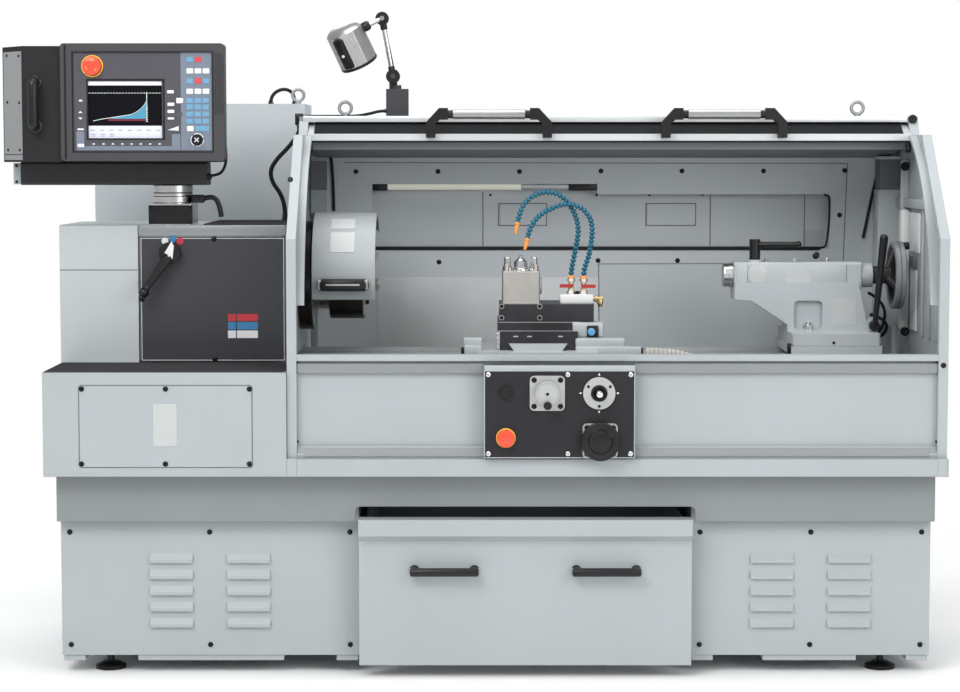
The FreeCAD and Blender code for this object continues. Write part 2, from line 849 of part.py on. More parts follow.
def chuck_guard():
    x0 = nose_x + cover_gap
    x1 = x0 + guard_length
    shell = arc_band(spindle_y, spindle_z, guard_radius - guard_sheet, guard_radius,
                     guard_start, guard_end, x0, x1)
    rim = arc_band(spindle_y, spindle_z, guard_radius - guard_rim, guard_radius,
                   guard_start, guard_end, x0, x0 + guard_sheet)
    far_rim = arc_band(spindle_y, spindle_z, guard_radius - 14, guard_radius, guard_start, guard_end,
                       x1 - guard_sheet, x1)
    y, z = guard_pivot()
    lug = box(x0, x0 + 30, y - guard_rod_radius, y + guard_rod_radius, z - 20, z + guard_rod_radius)
    barrel = rod(guard_rod_radius, Vector(left_guard_x1 + slide_gap, y, z), Vector(x0 + 60, y, z))
    handle = round_box(x0 + 20, x1 - 20, spindle_y - guard_radius - 26, spindle_y - guard_radius + 4,
                       spindle_z - 33, spindle_z - 4, 6, AXIS_X)
    outside = rod(guard_radius - 1, Vector(x0 - 1, spindle_y, spindle_z), Vector(x1 + 1, spindle_y, spindle_z))
    handle = handle.cut(outside)
    web = box(x0, x0 + 30, y - 30, y + guard_rod_radius, z - 24, z)
    web = web.cut(rod(guard_radius - guard_sheet, Vector(x0 - 1, spindle_y, spindle_z),
                      Vector(x1, spindle_y, spindle_z)))
    return join([shell, rim, far_rim, barrel, lug.cut(outside), web, handle])


def guard_pivot():
    return in_plane(spindle_y, spindle_z, guard_radius + guard_rod_radius + 4, guard_start)


def motor_housing():
    y = spindle_y
    z = foot_height + motor_height
    start = Vector(belt_x0 + pulley_width + motor_gap, y, z)
    end = start + AXIS_X * motor_length
    body = rod(motor_radius, start, end)
    foot = box(start.x + 40, end.x - 40, y - motor_radius, y + motor_radius,
               foot_height + pedestal_sheet, z - motor_radius * 0.6)
    bore = rod(24 + turn_gap, start - AXIS_X, start + AXIS_X * 40)
    hollow = rod(motor_radius - 24, start + AXIS_X * 20, end - AXIS_X * 20)
    return cut(join([body, foot]), [bore, hollow])


def motor_rotor():
    y = spindle_y
    z = foot_height + motor_height
    start = Vector(belt_x0, y, z)
    pulley = rod(motor_pulley_radius, start, start + AXIS_X * pulley_width)
    inside = start + AXIS_X * (pulley_width + motor_gap + 24)
    shaft = rod(24, start, inside)
    core = rod(motor_radius - 26, inside, inside + AXIS_X * (motor_length - 48))
    return join([pulley, shaft, core])


def drive_belt():
    """Flat belt round both pulleys, its two runs along the outer common tangents."""
    y = spindle_y
    low_z = foot_height + motor_height
    big = spindle_pulley_radius + panel_gap
    small = motor_pulley_radius + panel_gap
    lean = math.degrees(math.asin((big - small) / (spindle_z - low_z)))

    def loop(extra):
        high = []
        low = []
        for degrees in (-lean, 90, 180 + lean):
            high.append(Vector(belt_x0 + 4, *in_plane(y, spindle_z, big + extra, degrees)))
        for degrees in (180 + lean, 270, 360 - lean):
            low.append(Vector(belt_x0 + 4, *in_plane(y, low_z, small + extra, degrees)))
        edges = [
            Part.Arc(*high).toShape(),
            Part.LineSegment(high[2], low[0]).toShape(),
            Part.Arc(*low).toShape(),
            Part.LineSegment(low[2], high[0]).toShape(),
        ]
        return Part.Face(Part.Wire(edges)).extrude(Vector(pulley_width - 8, 0, 0))

    return loop(belt_thickness).cut(loop(0))


def face_plate():
    x0 = head_x0 + 5
    x1 = head_x1 - 4
    plate = round_box(x0, x1, head_y0 - 3, head_y0, feed_box_top + 5, head_top - 34, 4, AXIS_Y)
    return plate


def gear_lever():
    x = head_x0 + 94
    z = head_top - 79
    hub = rod(31, Vector(x, head_y0 - 3 - slide_gap, z), Vector(x, head_y0 - 33, z))
    tip = Vector(x - 72, head_y0 - 52, z - 112)
    start = Vector(x, head_y0 - 20, z)
    arm = rod(9, start, tip)
    knob = ball(15, tip)
    return join([hub, arm, knob])


def gear_cover():
    sheet = gear_cover_sheet
    shell = box(lip_left, head_x0, head_y0, head_y1, lip_top, head_top)
    shell = rounded(shell, 5, AXIS_X)
    hollow = box(lip_left + sheet, head_x0 + 1, head_y0 + sheet, head_y1 - sheet, lip_top - 1, head_top - sheet)
    return shell.cut(hollow)


def feed_box():
    sheet = feed_box_sheet
    x0 = lip_left
    x1 = lip_left + feed_box_length
    y0 = lip_front
    y1 = lip_front + feed_box_depth
    shell = join([
        box(x0, x1, y0, y1, lip_top, feed_box_top),
        box(x0, x1, y0, y0 + sheet, feed_box_bottom, feed_box_top),
    ])
    hollow = box(x0 + sheet, x1 - sheet, y0 + sheet, y1 + 1, lip_top - 1, feed_box_top - sheet)
    screw_hole = rod(screw_radius + cover_gap, Vector(x1 - sheet - 1, screw_y, screw_z),
                     Vector(x1 + 1, screw_y, screw_z))
    return cut(shell, [hollow, screw_hole])


# Guards and hood

def shrunk(points, inset):
    """Closed outline, its corners listed clockwise, moved inwards by the inset along every edge."""
    moved = []
    for before, here, after in zip(points[-1:] + points[:-1], points, points[1:] + points[:1]):
        ay, az = here[0] - before[0], here[1] - before[1]
        by, bz = after[0] - here[0], after[1] - here[1]
        first = math.hypot(ay, az)
        second = math.hypot(by, bz)
        turn = (ay * bz - az * by) / (first * second)
        straight = (ay * by + az * bz) / (first * second)
        slide = inset * (1 - straight) / turn if abs(turn) > 0.001 else 0
        moved.append((here[0] + inset * az / first + slide * ay / first,
                      here[1] - inset * ay / first + slide * az / first))
    return moved


def guard_profile(inset):
    """Outline of an end guard in Y and Z."""
    roof_end = lip_front + roof_set + guard_top_flat
    back = lip_back - lip_sheet
    points = [
        (guard_y, ring_top),
        (guard_y, end_guard_straight),
        (lip_front + guard_slope_set, end_guard_shoulder),
        (lip_front + guard_step_set, end_guard_shoulder),
        (lip_front + roof_set, end_guard_top),
        (roof_end, end_guard_top),
        (back, end_guard_top - guard_back_drop),
        (back, ring_top),
    ]
    return shrunk(points, inset) if inset else points


def arc_track(inner, first, last, x0, x1):
    track = arc_band(hood_axis_y, hood_axis_z, inner, inner + track_size, first, last, x0, x1)
    return track.common(prism_x(guard_profile(2), x0, x1))


def hood_tracks(x0, x1):
    """Rear track under the raised hood and front track outside the path of its rail."""
    under = arc_track(hood_radius - hood_band - panel_gap - track_size, 66, 98, x0, x1)
    outside = arc_track(hood_radius + panel_gap, 112, 172, x0, x1)
    return [under, outside]


def end_guard(x0, sheet_x0):
    """Flanged rim and sheet of one end guard."""
    outline = prism_x(guard_profile(0), x0, x0 + end_guard_width)
    inner = prism_x(guard_profile(end_guard_strip), x0 - 1, x0 + end_guard_width + 1)
    wall = prism_x(guard_profile(0), sheet_x0, sheet_x0 + end_guard_sheet)
    return [outline.cut(inner), wall]


def end_guards():
    y, z = guard_pivot()
    boss = rod(guard_rod_radius + 5, Vector(left_guard_x, y, z), Vector(left_guard_x1, y, z))
    spindle_hole = rod(nose_collar_radius + cover_gap, Vector(left_guard_x - 1, spindle_y, spindle_z),
                       Vector(left_guard_x1 + 1, spindle_y, spindle_z))
    bed_hole = box(left_guard_x - 1, left_guard_x1 + 1, screw_y - 40, bed_y1 + 10, ring_top - 1,
                   bed_top + vee_height + cover_gap)
    tracks = hood_tracks(left_guard_x, left_guard_x1 + hood_side_gap + 18)
    left = cut(join(end_guard(left_guard_x, left_guard_x) + tracks + [boss]), [spindle_hole, bed_hole])
    tracks = hood_tracks(right_guard_x0 - hood_side_gap - 18, right_guard_x1)
    right = join(end_guard(right_guard_x0, right_guard_x1 - end_guard_sheet) + tracks)
    return [left, right]


def front_guard():
    x0 = left_guard_x1
    x1 = right_guard_x0
    sheet = end_guard_sheet
    rail_low = front_rail_top - front_rail_height
    panel_y = guard_y + front_panel_set
    rail = box(x0, x1, guard_y, guard_y + front_rail_depth, rail_low, front_rail_top)
    panel = box(x0, x1, panel_y, panel_y + sheet, ring_top, rail_low)
    bevel = [
        (panel_y, front_bevel_top),
        (guard_y, front_bevel_top - 20),
        (guard_y, ring_top),
        (panel_y, ring_top),
    ]
    foot = prism_x(bevel, x0, x1)
    slot_low = lip_top + arm_slot_rise
    slot = box(x0 + 20, x1 - 20, guard_y - 1, panel_y + sheet + 1, slot_low, slot_low + arm_slot_height)
    return cut(join([rail, panel, foot]), [slot])


def back_guard():
    """Sheets of the back wall round the window, with the roof over them."""
    x0 = left_guard_x1
    x1 = right_guard_x0
    y = lip_front + back_wall_set
    sheet = end_guard_sheet
    step_x = window_left + window_step_set
    outlines = (
        (x0, x1, pan_floor_top, window_low),
        (x0, window_left, window_low, back_wall_top),
        (window_right, x1, window_low, back_wall_top),
        (window_left, step_x, window_high, back_wall_top),
        (step_x, window_right, window_high - window_step, back_wall_top),
    )
    sheets = [box(left, right, y, y + sheet, low, high) for left, right, low, high in outlines]
    slope = [
        (y, back_wall_top),
        (y + sheet, back_wall_top),
        (lip_front + inner_roof_front, inner_roof_top),
        (lip_front + inner_roof_front, inner_roof_top - sheet),
    ]
    roof = prism_x(slope, x0, x1)
    lip = box(x0, x1, lip_front + inner_roof_front, lip_front + inner_roof_front + sheet,
              inner_roof_top - 24, inner_roof_top)
    return sheets + [roof, lip]


def window_tray():
    """Sheets of the box behind the back guard's window."""
    sheet = end_guard_sheet
    y0 = lip_front + back_wall_set + sheet
    y1 = lip_front + back_wall_set + window_depth
    x0 = window_left - window_tray_lap
    x1 = window_right + window_tray_lap
    z0 = window_low - window_tray_lap
    z1 = window_high + window_tray_lap
    back = box(x0, x1, y1 - sheet, y1, z0, z1)
    low = box(x0, x1, y0, y1 - sheet, z0, z0 + sheet)
    high = box(x0, x1, y0, y1 - sheet, z1 - sheet, z1)
    left = box(x0, x0 + sheet, y0, y1 - sheet, z0 + sheet, z1 - sheet)
    right = box(x1 - sheet, x1, y0, y1 - sheet, z0 + sheet, z1 - sheet)
    return [back, low, high, left, right]


def roof_panel():
    y0 = lip_front + roof_set
    x0 = left_guard_x
    x1 = right_guard_x1
    top = box(x0, x1, y0, y0 + roof_depth, end_guard_top, roof_top)
    under = box(left_guard_x1 + 4, right_guard_x0 - 4, y0 + 40, y0 + roof_depth + 1,
                end_guard_top - 1, roof_top - 4)
    y = guard_hose_start[1]
    bracket = box(x0 - 20, x0, y - 25, y + 25, end_guard_top - 8, roof_top + 9)
    ledge = box(x0 - 20, x0 + 13, y - 25, y + 25, roof_top, roof_top + 9)
    return join([cut(top, [under]), bracket, ledge])


def hood_arc(inner, outer, first, last, x0, x1):
    return arc_band(hood_axis_y, hood_axis_z, inner, outer, first, last, x0, x1)


def hood_rail_corner():
    y = lip_front + rail_set
    return y, rail_z


def hood_frame():
    outer = hood_radius
    inner = hood_radius - hood_band
    y, z = hood_rail_corner()
    rail = box(hood_x0, hood_x1, y - rail_size / 2, y + rail_size / 2, z - rail_size / 2, z + rail_size / 2)
    top_y, top_z = in_plane(hood_axis_y, hood_axis_z, outer, hood_angle_front)
    low_y, low_z = in_plane(hood_axis_y, hood_axis_z, inner, hood_angle_front)
    kink = [
        (y + 2, z + rail_size / 2),
        (top_y, top_z),
        (low_y, low_z),
        (y + rail_size / 2, z - rail_size / 2 + 2),
    ]
    pieces = [rail]
    for x0, x1 in ((hood_x0, hood_x0 + hood_side_band), (hood_x1 - hood_side_band, hood_x1)):
        pieces.append(prism_x(kink, x0, x1))
        pieces.append(hood_arc(inner, outer, hood_angle_back, hood_angle_front, x0, x1))
    pieces.append(hood_arc(inner, outer, hood_angle_back, hood_angle_back + 4, hood_x0, hood_x1))
    pieces.append(hood_arc(inner, outer, hood_angle_front - 3, hood_angle_front, hood_x0, hood_x1))
    middle = (hood_x0 + hood_x1) / 2
    pieces.append(hood_arc(inner, outer, hood_angle_back, hood_angle_front, middle - 20, middle + 20))
    return join(pieces)


def hood_window():
    outer = hood_radius - 3
    inner = outer - window_sheet
    x0 = hood_x0 + hood_side_band
    x1 = hood_x1 - hood_side_band
    middle = (hood_x0 + hood_x1) / 2
    y, z = hood_rail_corner()
    top_y, top_z = in_plane(hood_axis_y, hood_axis_z, outer, hood_angle_front)
    low_y, low_z = in_plane(hood_axis_y, hood_axis_z, inner, hood_angle_front)
    kink = [
        (y + rail_size / 2, z + rail_size / 2),
        (top_y, top_z),
        (low_y, low_z),
        (y + rail_size / 2, z + rail_size / 2 - window_sheet),
    ]
    front = prism_x(kink, x0, x1)
    panes = [front]
    for left, right in ((x0, middle - 20), (middle + 20, x1)):
        panes.append(hood_arc(inner, outer, hood_angle_back + 4, hood_angle_front - 3, left, right))
    return panes


def hood_handles():
    y, z = hood_rail_corner()
    handles = []
    foot_y = y - rail_size / 2
    foot_z = z + rail_size / 2 - 4
    for number in range(2):
        x0 = handle_first + number * handle_spacing
        x1 = x0 + handle_length
        bar_y = foot_y - 18
        bar_z = foot_z + handle_reach
        bar = rod(12, Vector(x0 + handle_arm - 14, bar_y, bar_z), Vector(x1 - handle_arm + 14, bar_y, bar_z))
        ends = []
        for side, foot_x in ((1, x0), (-1, x1)):
            inner_x = foot_x + side * handle_foot
            arm_x = foot_x + side * handle_arm
            outline = [
                (foot_x, foot_z - 8),
                (inner_x, foot_z - 8),
                (inner_x, bar_z - 29),
                (inner_x + side * 14, bar_z - 16),
                (arm_x, bar_z - 16),
                (arm_x, bar_z + 18),
                (arm_x - side * 26, bar_z + 18),
                (foot_x, bar_z - 23),
            ]
            ends.append(prism_y(outline, bar_y - 13, bar_y + 13))
            foot = box(min(foot_x, inner_x), max(foot_x, inner_x), bar_y - 13, foot_y, foot_z - 8, foot_z + 4)
            ends.append(foot)
        handles.append(join([bar] + ends))
    return handles


# Carriage, control panel and tool block

def saddle():
    x0 = saddle_left
    x1 = saddle_left + saddle_length
    low = bed_top + vee_height + slide_gap
    plate = box(x0, x1, saddle_y0, saddle_y1, low, saddle_top)
    keeper_y = bed_y0 - slide_gap
    keeper = box(x0 + 30, x1 - 30, saddle_y0, keeper_y, bed_top - bed_flange - 12, saddle_top)
    rear_y = bed_y1 + slide_gap
    rear = box(x0 + 30, x1 - 30, rear_y, saddle_y1, bed_top - bed_flange - 12, saddle_top)
    dovetail = [
        (cross_middle - dovetail_root / 2, saddle_top),
        (cross_middle - dovetail_width / 2, saddle_top + dovetail_height),
        (cross_middle + dovetail_width / 2, saddle_top + dovetail_height),
        (cross_middle + dovetail_root / 2, saddle_top),
    ]
    way = prism_y(dovetail, saddle_y0, saddle_y1)
    return join([plate, keeper, rear, way])


def apron():
    x0 = panel_left + 40
    x1 = x0 + saddle_length - 60
    y0 = saddle_y0 - apron_thickness
    top = saddle_top
    low = top - apron_height - 40
    case = round_box(x0, x1, y0, saddle_y0, low, top, 10, AXIS_Y)
    arm_low = lip_top + arm_slot_rise + (arm_slot_height - panel_arm_height) / 2
    middle = panel_left + panel_length / 2
    arm = box(middle - panel_arm_length / 2, middle + panel_arm_length / 2, panel_back, saddle_y0 - 10,
              arm_low, arm_low + panel_arm_height)
    post = box(middle - panel_arm_length / 2, middle + panel_arm_length / 2, y0, saddle_y0 - 10,
               arm_low, low + 1)
    bore = rod(screw_radius + turn_gap, Vector(x0 - 1, screw_y, screw_z), Vector(x1 + 1, screw_y, screw_z))
    return cut(join([case, arm, post]), [bore])


def wheel_flange_plate(x, z):
    half = wheel_flange / 2
    return round_box(x - half, x + half, panel_front - wheel_flange_thickness, panel_front,
                     z - half, z + half, 12, AXIS_Y)


def jog_centre():
    x, z = jog_place
    return Vector(x, panel_front - 4, z)


def collar(place, radius):
    x, z = place
    return rod(radius, Vector(x, panel_front, z), Vector(x, panel_front - 5, z))


def stem_bore(place, radius, front):
    x, z = place
    return rod(radius, Vector(x, front - 6, z), Vector(x, front + 24, z))


def control_panel():
    """Box with square flanges behind the wheels, the jog ring with its socket and the buttons' collars."""
    x1 = panel_left + panel_length
    case = round_box(panel_left, x1, panel_front, panel_back, panel_bottom, panel_top, 6, AXIS_Y)
    x, z = jog_place
    ring_face = rod(jog_ring_radius, Vector(x, panel_front, z), Vector(x, panel_front - 8, z))
    well = cone(14, 22, Vector(x, panel_front - 4, z), Vector(x, panel_front - 9, z))
    pieces = [
        case,
        ring_face,
        wheel_flange_plate(*cross_wheel_place),
        wheel_flange_plate(*carriage_wheel_place),
        collar(button_place, button_radius + 4),
        collar(stop_place, stop_radius - 4),
    ]
    tools = [
        well,
        ball(jog_ball + panel_gap, jog_centre()),
        stem_bore(button_place, button_stem, panel_front),
        stem_bore(stop_place, stop_stem, panel_front),
    ]
    return cut(join(pieces), tools)


def push_button(place, front, travel, cap_radius, stem_radius, cap):
    """Button whose stem runs in its bore; the cap stands its travel ahead of the collar."""
    x, z = place
    back = front - travel - panel_gap
    shaft = rod(stem_radius - panel_gap, Vector(x, back, z), Vector(x, front + 12, z))
    head = rod(cap_radius, Vector(x, back, z), Vector(x, back - cap, z))
    edge = min(head.Edges, key=lambda item: item.CenterOfMass.y)
    head = head.makeFillet(cap * 0.3, [edge])
    return join([shaft, head])


def hand_wheel(x, z, radius, knob_offset, knob_radius, knob_length):
    y0 = panel_front - wheel_flange_thickness - panel_gap
    y1 = y0 - wheel_stem
    stem = rod(radius * 0.4, Vector(x, y0, z), Vector(x, y1, z))
    disc = rod(radius, Vector(x, y1, z), Vector(x, y1 - wheel_thickness, z))
    disc = disc.makeFillet(3, [edge for edge in disc.Edges if len(edge.Vertexes) == 1])
    dx, dz = knob_offset
    knob = cone(knob_radius * 0.6, knob_radius, Vector(x + dx, y1 - wheel_thickness, z + dz),
                Vector(x + dx, y1 - wheel_thickness - knob_length, z + dz))
    return join([stem, disc, knob])


def jog_stick():
    centre = jog_centre()
    stick = rod(5, centre, centre - AXIS_Y * 32)
    knob = ball(9, centre - AXIS_Y * 34)
    return join([ball(jog_ball, centre), stick, knob])


def cross_slide():
    z0 = saddle_top + slide_gap
    z1 = z0 + cross_height + 8
    x0 = cross_left
    x1 = cross_left + cross_width
    y0 = lip_front + cross_set
    y1 = y0 + cross_depth
    lower = box(x0, x1, y0, y1, z0, z1)
    root = dovetail_root / 2 + 2 * slide_gap
    wide = dovetail_width / 2 + 2 * slide_gap
    groove = [
        (cross_middle - root, z0 - 1),
        (cross_middle - root, z0 - slide_gap),
        (cross_middle - wide, z0 + dovetail_height),
        (cross_middle + wide, z0 + dovetail_height),
        (cross_middle + root, z0 - slide_gap),
        (cross_middle + root, z0 - 1),
    ]
    lower = lower.cut(prism_y(groove, y0 - 1, y1 + 1))
    middle = box(x0, x1 - 16, y0 + 20, y1 - 20, z1, z1 + step_height)
    upper = box(x0 + 4, block_x1, y0 + 40, y1 - 60, z1 + step_height, block_top)
    return join([lower, middle, upper])


def toolpost():
    x0 = post_x0
    y0 = post_y0
    z0 = block_top
    z1 = z0 + post_height
    body = rounded(box(x0, x0 + post_size, y0, y0 + post_size, z0, z1), 6, AXIS_Z)
    middle = Vector(x0 + post_size / 2, y0 + post_size / 2, 0)
    slots = [
        box(x0 - 1, x0 + 26, y0 + 18, y0 + post_size + 1, z0 + 34, z0 + 62),
    ]
    body = cut(body, slots)
    pieces = [body]
    for dx in (-42, 42):
        for dy in (-38, 38):
            foot = Vector(middle.x + dx, middle.y + dy, z1)
            pieces.append(rod(post_stud_radius * 0.8, foot, foot + AXIS_Z * 20))
    centre = Vector(middle.x, middle.y, z1)
    pieces.append(rod(20, centre, centre + AXIS_Z * 8))
    pieces.append(rod(12, centre, centre + AXIS_Z * 22))
    return join(pieces)


def coolant_manifold():
    x0 = manifold_x
    y0 = manifold_y
    z0 = block_top
    body = round_box(x0, x0 + manifold_length, y0, y0 + manifold_depth, z0, z0 + manifold_height, 3, AXIS_Y)
    pieces = [body]
    for top in hose_feet:
        foot = Vector(top.x, top.y, z0 + manifold_height)
        pieces.append(rod(9, foot, foot + AXIS_Z * 14))
        pieces.append(rod(valve_radius, foot + AXIS_Z * 13, top))
        pieces.append(rod(9, top - AXIS_Z * 14, top))
    return join(pieces)


def valve_handle(top, side):
    """Quarter-turn handle on the front of a valve body."""
    x = top.x
    z = top.z - 27
    y = top.y - valve_radius - panel_gap
    hub = rod(6, Vector(x, y, z), Vector(x, y - 8, z))
    x1 = x + side * 34
    lever = box(min(x, x1), max(x, x1), y - 8, y - 5, z - 5, z + 5)
    return join([hub, lever])


def hose_shell(points, name):
    """Segmented hose in an XZ plane: a ruled loft through four circles a segment, with its bore."""
    path = cord_path(points, name)
    count = max(8, int(path.Length / hose_pitch))
    pitch = path.Length / count
    outer = []
    inner = []
    profile = ((0.0, hose_groove), (0.18, hose_radius), (0.62, hose_radius), (0.8, hose_groove))
    places = [(number + share) * pitch for number in range(count) for share, radius in profile]
    sizes = [radius for number in range(count) for share, radius in profile]
    places.append(path.Length)
    sizes.append(hose_groove)
    frames = path_frames(path, places)
    for (point, tangent), radius in zip(frames, sizes):
        outer.append(ring(point, tangent, radius))
        inner.append(ring(point, tangent, hose_bore))
    hose = Part.makeLoft(outer, True, True)
    bore = Part.makeLoft(inner, True, True)
    return hose.cut(bore)


def ring(point, tangent, radius):
    """Circle across the path whose X axis stays along Y, so that the loft doesn't twist."""
    circle = Part.Circle(point, tangent, radius)
    circle.XAxis = AXIS_Y
    return Part.Wire(circle.toShape())


def path_frames(path, places):
    frames = []
    edges = path.Edges
    starts = [0.0]
    for edge in edges:
        starts.append(starts[-1] + edge.Length)
    for place in places:
        number = 0
        while number < len(edges) - 1 and place > starts[number + 1]:
            number += 1
        edge = edges[number]
        parameter = edge.getParameterByLength(min(place - starts[number], edge.Length))
        frames.append((edge.valueAt(parameter), edge.tangentAt(parameter)))
    return frames


def nozzle(foot, route):
    x, z = route[-1]
    start = Vector(foot.x + x, foot.y, foot.z + z)
    ahead = (start - Vector(foot.x + route[-2][0], foot.y, foot.z + route[-2][1])).normalize()
    tip = cone(hose_radius + 0.5, 4, start, start + ahead * 34)
    return tip.cut(rod(2.5, start - ahead, start + ahead * 35))


def coolant_hoses():
    shapes = []
    for foot, route in zip(hose_feet, (hose_1_route, hose_2_route)):
        points = [Vector(foot.x + x, foot.y, foot.z + z) for x, z in route]
        shapes.append(hose_shell(points, "coolant hose"))
        shapes.append(nozzle(foot, route))
    return shapes


# Tailstock

def tailstock():
    x0 = tail_left
    x1 = tail_left + tail_base_length
    y0 = bed_y0 - 4
    y1 = bed_y1 + 4
    z0 = bed_top + vee_height + slide_gap
    z1 = tail_base_top
    seam = z0 + 26
    sole = box(x0, x1, y0, y1, z0, seam)
    base = rounded(box(x0 + 4, x1 - 4, y0 + 6, y1 - 6, seam, z1), 8, AXIS_Z)
    web = [
        (tail_barrel_left, spindle_z - 20),
        (tail_barrel_left, spindle_z - tail_flange_drop),
        (tail_barrel_left + 50, spindle_z - tail_flange_drop - 4),
        (x0 + 4, z1 + 18),
        (x0 + 4, z1),
        (x1 - 20, z1),
        (tail_barrel_right - 10, spindle_z - 20),
    ]
    mass = prism_y(web, spindle_y - tail_flange_half, spindle_y + tail_flange_half)
    recess = round_box(x0 + 24, x0 + 106, spindle_y - 63, spindle_y - 40, z1 + 4, z1 + 88, 12, AXIS_Y)
    barrel = box(tail_barrel_left, tail_barrel_right, spindle_y - tail_barrel_half, spindle_y + tail_barrel_half,
                 spindle_z - tail_barrel_half, spindle_z + tail_barrel_half)
    barrel = rounded(barrel, 9, AXIS_X)
    collar = rod(tail_barrel_half - 4, Vector(tail_barrel_right, spindle_y, spindle_z),
                 Vector(tail_barrel_right + 35, spindle_y, spindle_z))
    bore = rod(quill_radius + turn_gap, Vector(tail_barrel_left - 1, spindle_y, spindle_z),
               Vector(tail_barrel_right - 60, spindle_y, spindle_z))
    shaft_bore = rod(12 + turn_gap, Vector(tail_barrel_right - 70, spindle_y, spindle_z),
                     Vector(tail_barrel_right + 36, spindle_y, spindle_z))
    boss = rod(lock_post_radius + 6, Vector(lock_x, spindle_y - 14, spindle_z + tail_barrel_half - 14),
               Vector(lock_x, spindle_y - 14, spindle_z + tail_barrel_half + 6))
    oiler = rod(6, Vector(lock_x + 120, spindle_y, spindle_z + tail_barrel_half - 4),
                Vector(lock_x + 120, spindle_y, spindle_z + tail_barrel_half + 10))
    lug_x = clamp_x
    lug = box(lug_x - 14, lug_x + 7, clamp_y + 12 + slide_gap, spindle_y - 40, z1 - 1, clamp_z + 20)
    tenons = box(x0 + 20, x1 - 20, bed_mid - 56, bed_mid + 56, bed_top - bed_flange - 16, z0 + 1)
    clamp = box(x0 + 30, x1 - 30, bed_mid - 90, bed_mid + 90, bed_top - bed_flange - 28,
                bed_top - bed_flange - slide_gap)
    body = join([sole, base, mass, barrel, collar, boss, oiler, lug, tenons, clamp])
    return cut(body, [recess, bore, shaft_bore])


def quill():
    x0 = tail_barrel_left - quill_reach
    x1 = tail_barrel_right - 60 - quill_travel * 0.2
    body = rod(quill_radius, Vector(x0, spindle_y, spindle_z), Vector(x1, spindle_y, spindle_z))
    body = body.makeChamfer(2, [edge for edge in body.Edges if len(edge.Vertexes) == 1])
    taper = cone(13, 9, Vector(x0 - 1, spindle_y, spindle_z), Vector(x0 + 90, spindle_y, spindle_z))
    nut_bore = rod(12, Vector(x0 + 100, spindle_y, spindle_z), Vector(x1 + 1, spindle_y, spindle_z))
    return cut(body, [taper, nut_bore])


def tailstock_wheel():
    x = tail_wheel_x
    centre = Vector(x, spindle_y, spindle_z)
    ring_shape = Part.makeTorus(tail_wheel_radius - tail_wheel_rim, tail_wheel_rim, centre, AXIS_X)
    middle = Vector(x - tail_wheel_dish, spindle_y, spindle_z)
    hub = rod(26, Vector(tail_barrel_right + 35 + panel_gap, spindle_y, spindle_z), middle + AXIS_X * 16)
    shaft = rod(12, Vector(tail_barrel_right - 56, spindle_y, spindle_z), middle)
    spokes = []
    for degrees in (90, 210, 330):
        y, z = in_plane(spindle_y, spindle_z, tail_wheel_radius - tail_wheel_rim, degrees)
        spokes.append(rod(9, middle, Vector(x, y, z)))
    y, z = in_plane(spindle_y, spindle_z, tail_wheel_radius - tail_wheel_rim, 100)
    crank = rod(8, Vector(x, y, z), Vector(x + 30, y, z))
    grip = rod(11, Vector(x + 14, y, z), Vector(x + 34, y, z))
    return join([ring_shape, hub, shaft] + spokes + [crank, grip])


def quill_lock():
    y = spindle_y - 14
    low = spindle_z + tail_barrel_half + 6 + panel_gap
    post = rod(lock_post_radius, Vector(lock_x, y, low), Vector(lock_x, y, low + 60))
    tip = Vector(lock_x + 124, y - 30, low + 46)
    lever = cone(9, 7, Vector(lock_x, y, low + 44), tip)
    return join([post, lever, ball(10, tip)])


def clamp_lever():
    hub = rod(15, Vector(clamp_x, clamp_y - 14, clamp_z), Vector(clamp_x, clamp_y + 12, clamp_z))
    tip = Vector(clamp_x + 22, clamp_y - 22, clamp_z + 256)
    lever = cone(7.5, 12.5, Vector(clamp_x, clamp_y - 10, clamp_z), tip)
    grip = ball(12.5, tip)
    return join([hub, lever, grip])


# Pendant, cabinet, lamp and lines

def pendant_post():
    x0 = swivel_x - post_length / 2
    y0 = head_y0 + 4
    z0 = head_top
    z1 = head_top + post_height_above
    foot = round_box(x0, x0 + post_length, y0, y0 + post_depth, z0, z1, 6, AXIS_Z)
    y = swivel_y
    drum = rod(swivel_radius, Vector(swivel_x, y, z1), Vector(swivel_x, y, arm_bottom - 24))
    return join([foot, drum])


def pendant_arm():
    x0 = arm_left
    x1 = arm_left + arm_length
    y0 = lip_front + arm_front_set
    y1 = y0 + arm_width
    beam = rounded(box(x0, x1, y0, y1, arm_bottom, arm_bottom + arm_height), 8, AXIS_X)
    cap = box(x0 - 20, x0, y0 + 4, y1 - 4, arm_bottom + 3, arm_bottom + arm_height - 3)
    drum = rod(swivel_radius - 2, Vector(swivel_x, swivel_y, arm_bottom - 24 + slide_gap),
               Vector(swivel_x, swivel_y, arm_bottom))
    x, y = pendant_pivot
    pin = rod(pendant_pin_radius, Vector(x, y, arm_bottom), Vector(x, y, case_bottom + pendant_pin_height))
    return join([beam, cap, drum, pin])


def pendant_head():
    x0 = pendant_left
    x1 = x0 + pendant_width
    y0 = lip_front + pendant_front_set
    y1 = y0 + pendant_depth
    z0 = pendant_bottom
    z1 = z0 + pendant_height
    bezel = round_box(x0, x1, y0, y1, z0, z1, 10, AXIS_Y)
    recess = box(x0 + 34, x1 - 32, y0 - 1, y0 + 5, z0 + 26, z1 - 24)
    screen = box(x0 + 73, x0 + 281, y0 - 1, y0 + 12, z0 + 59, z0 + 221)
    return cut(bezel, [recess, screen, stem_bore(pendant_stop_place, stop_stem, y0 + 5)])


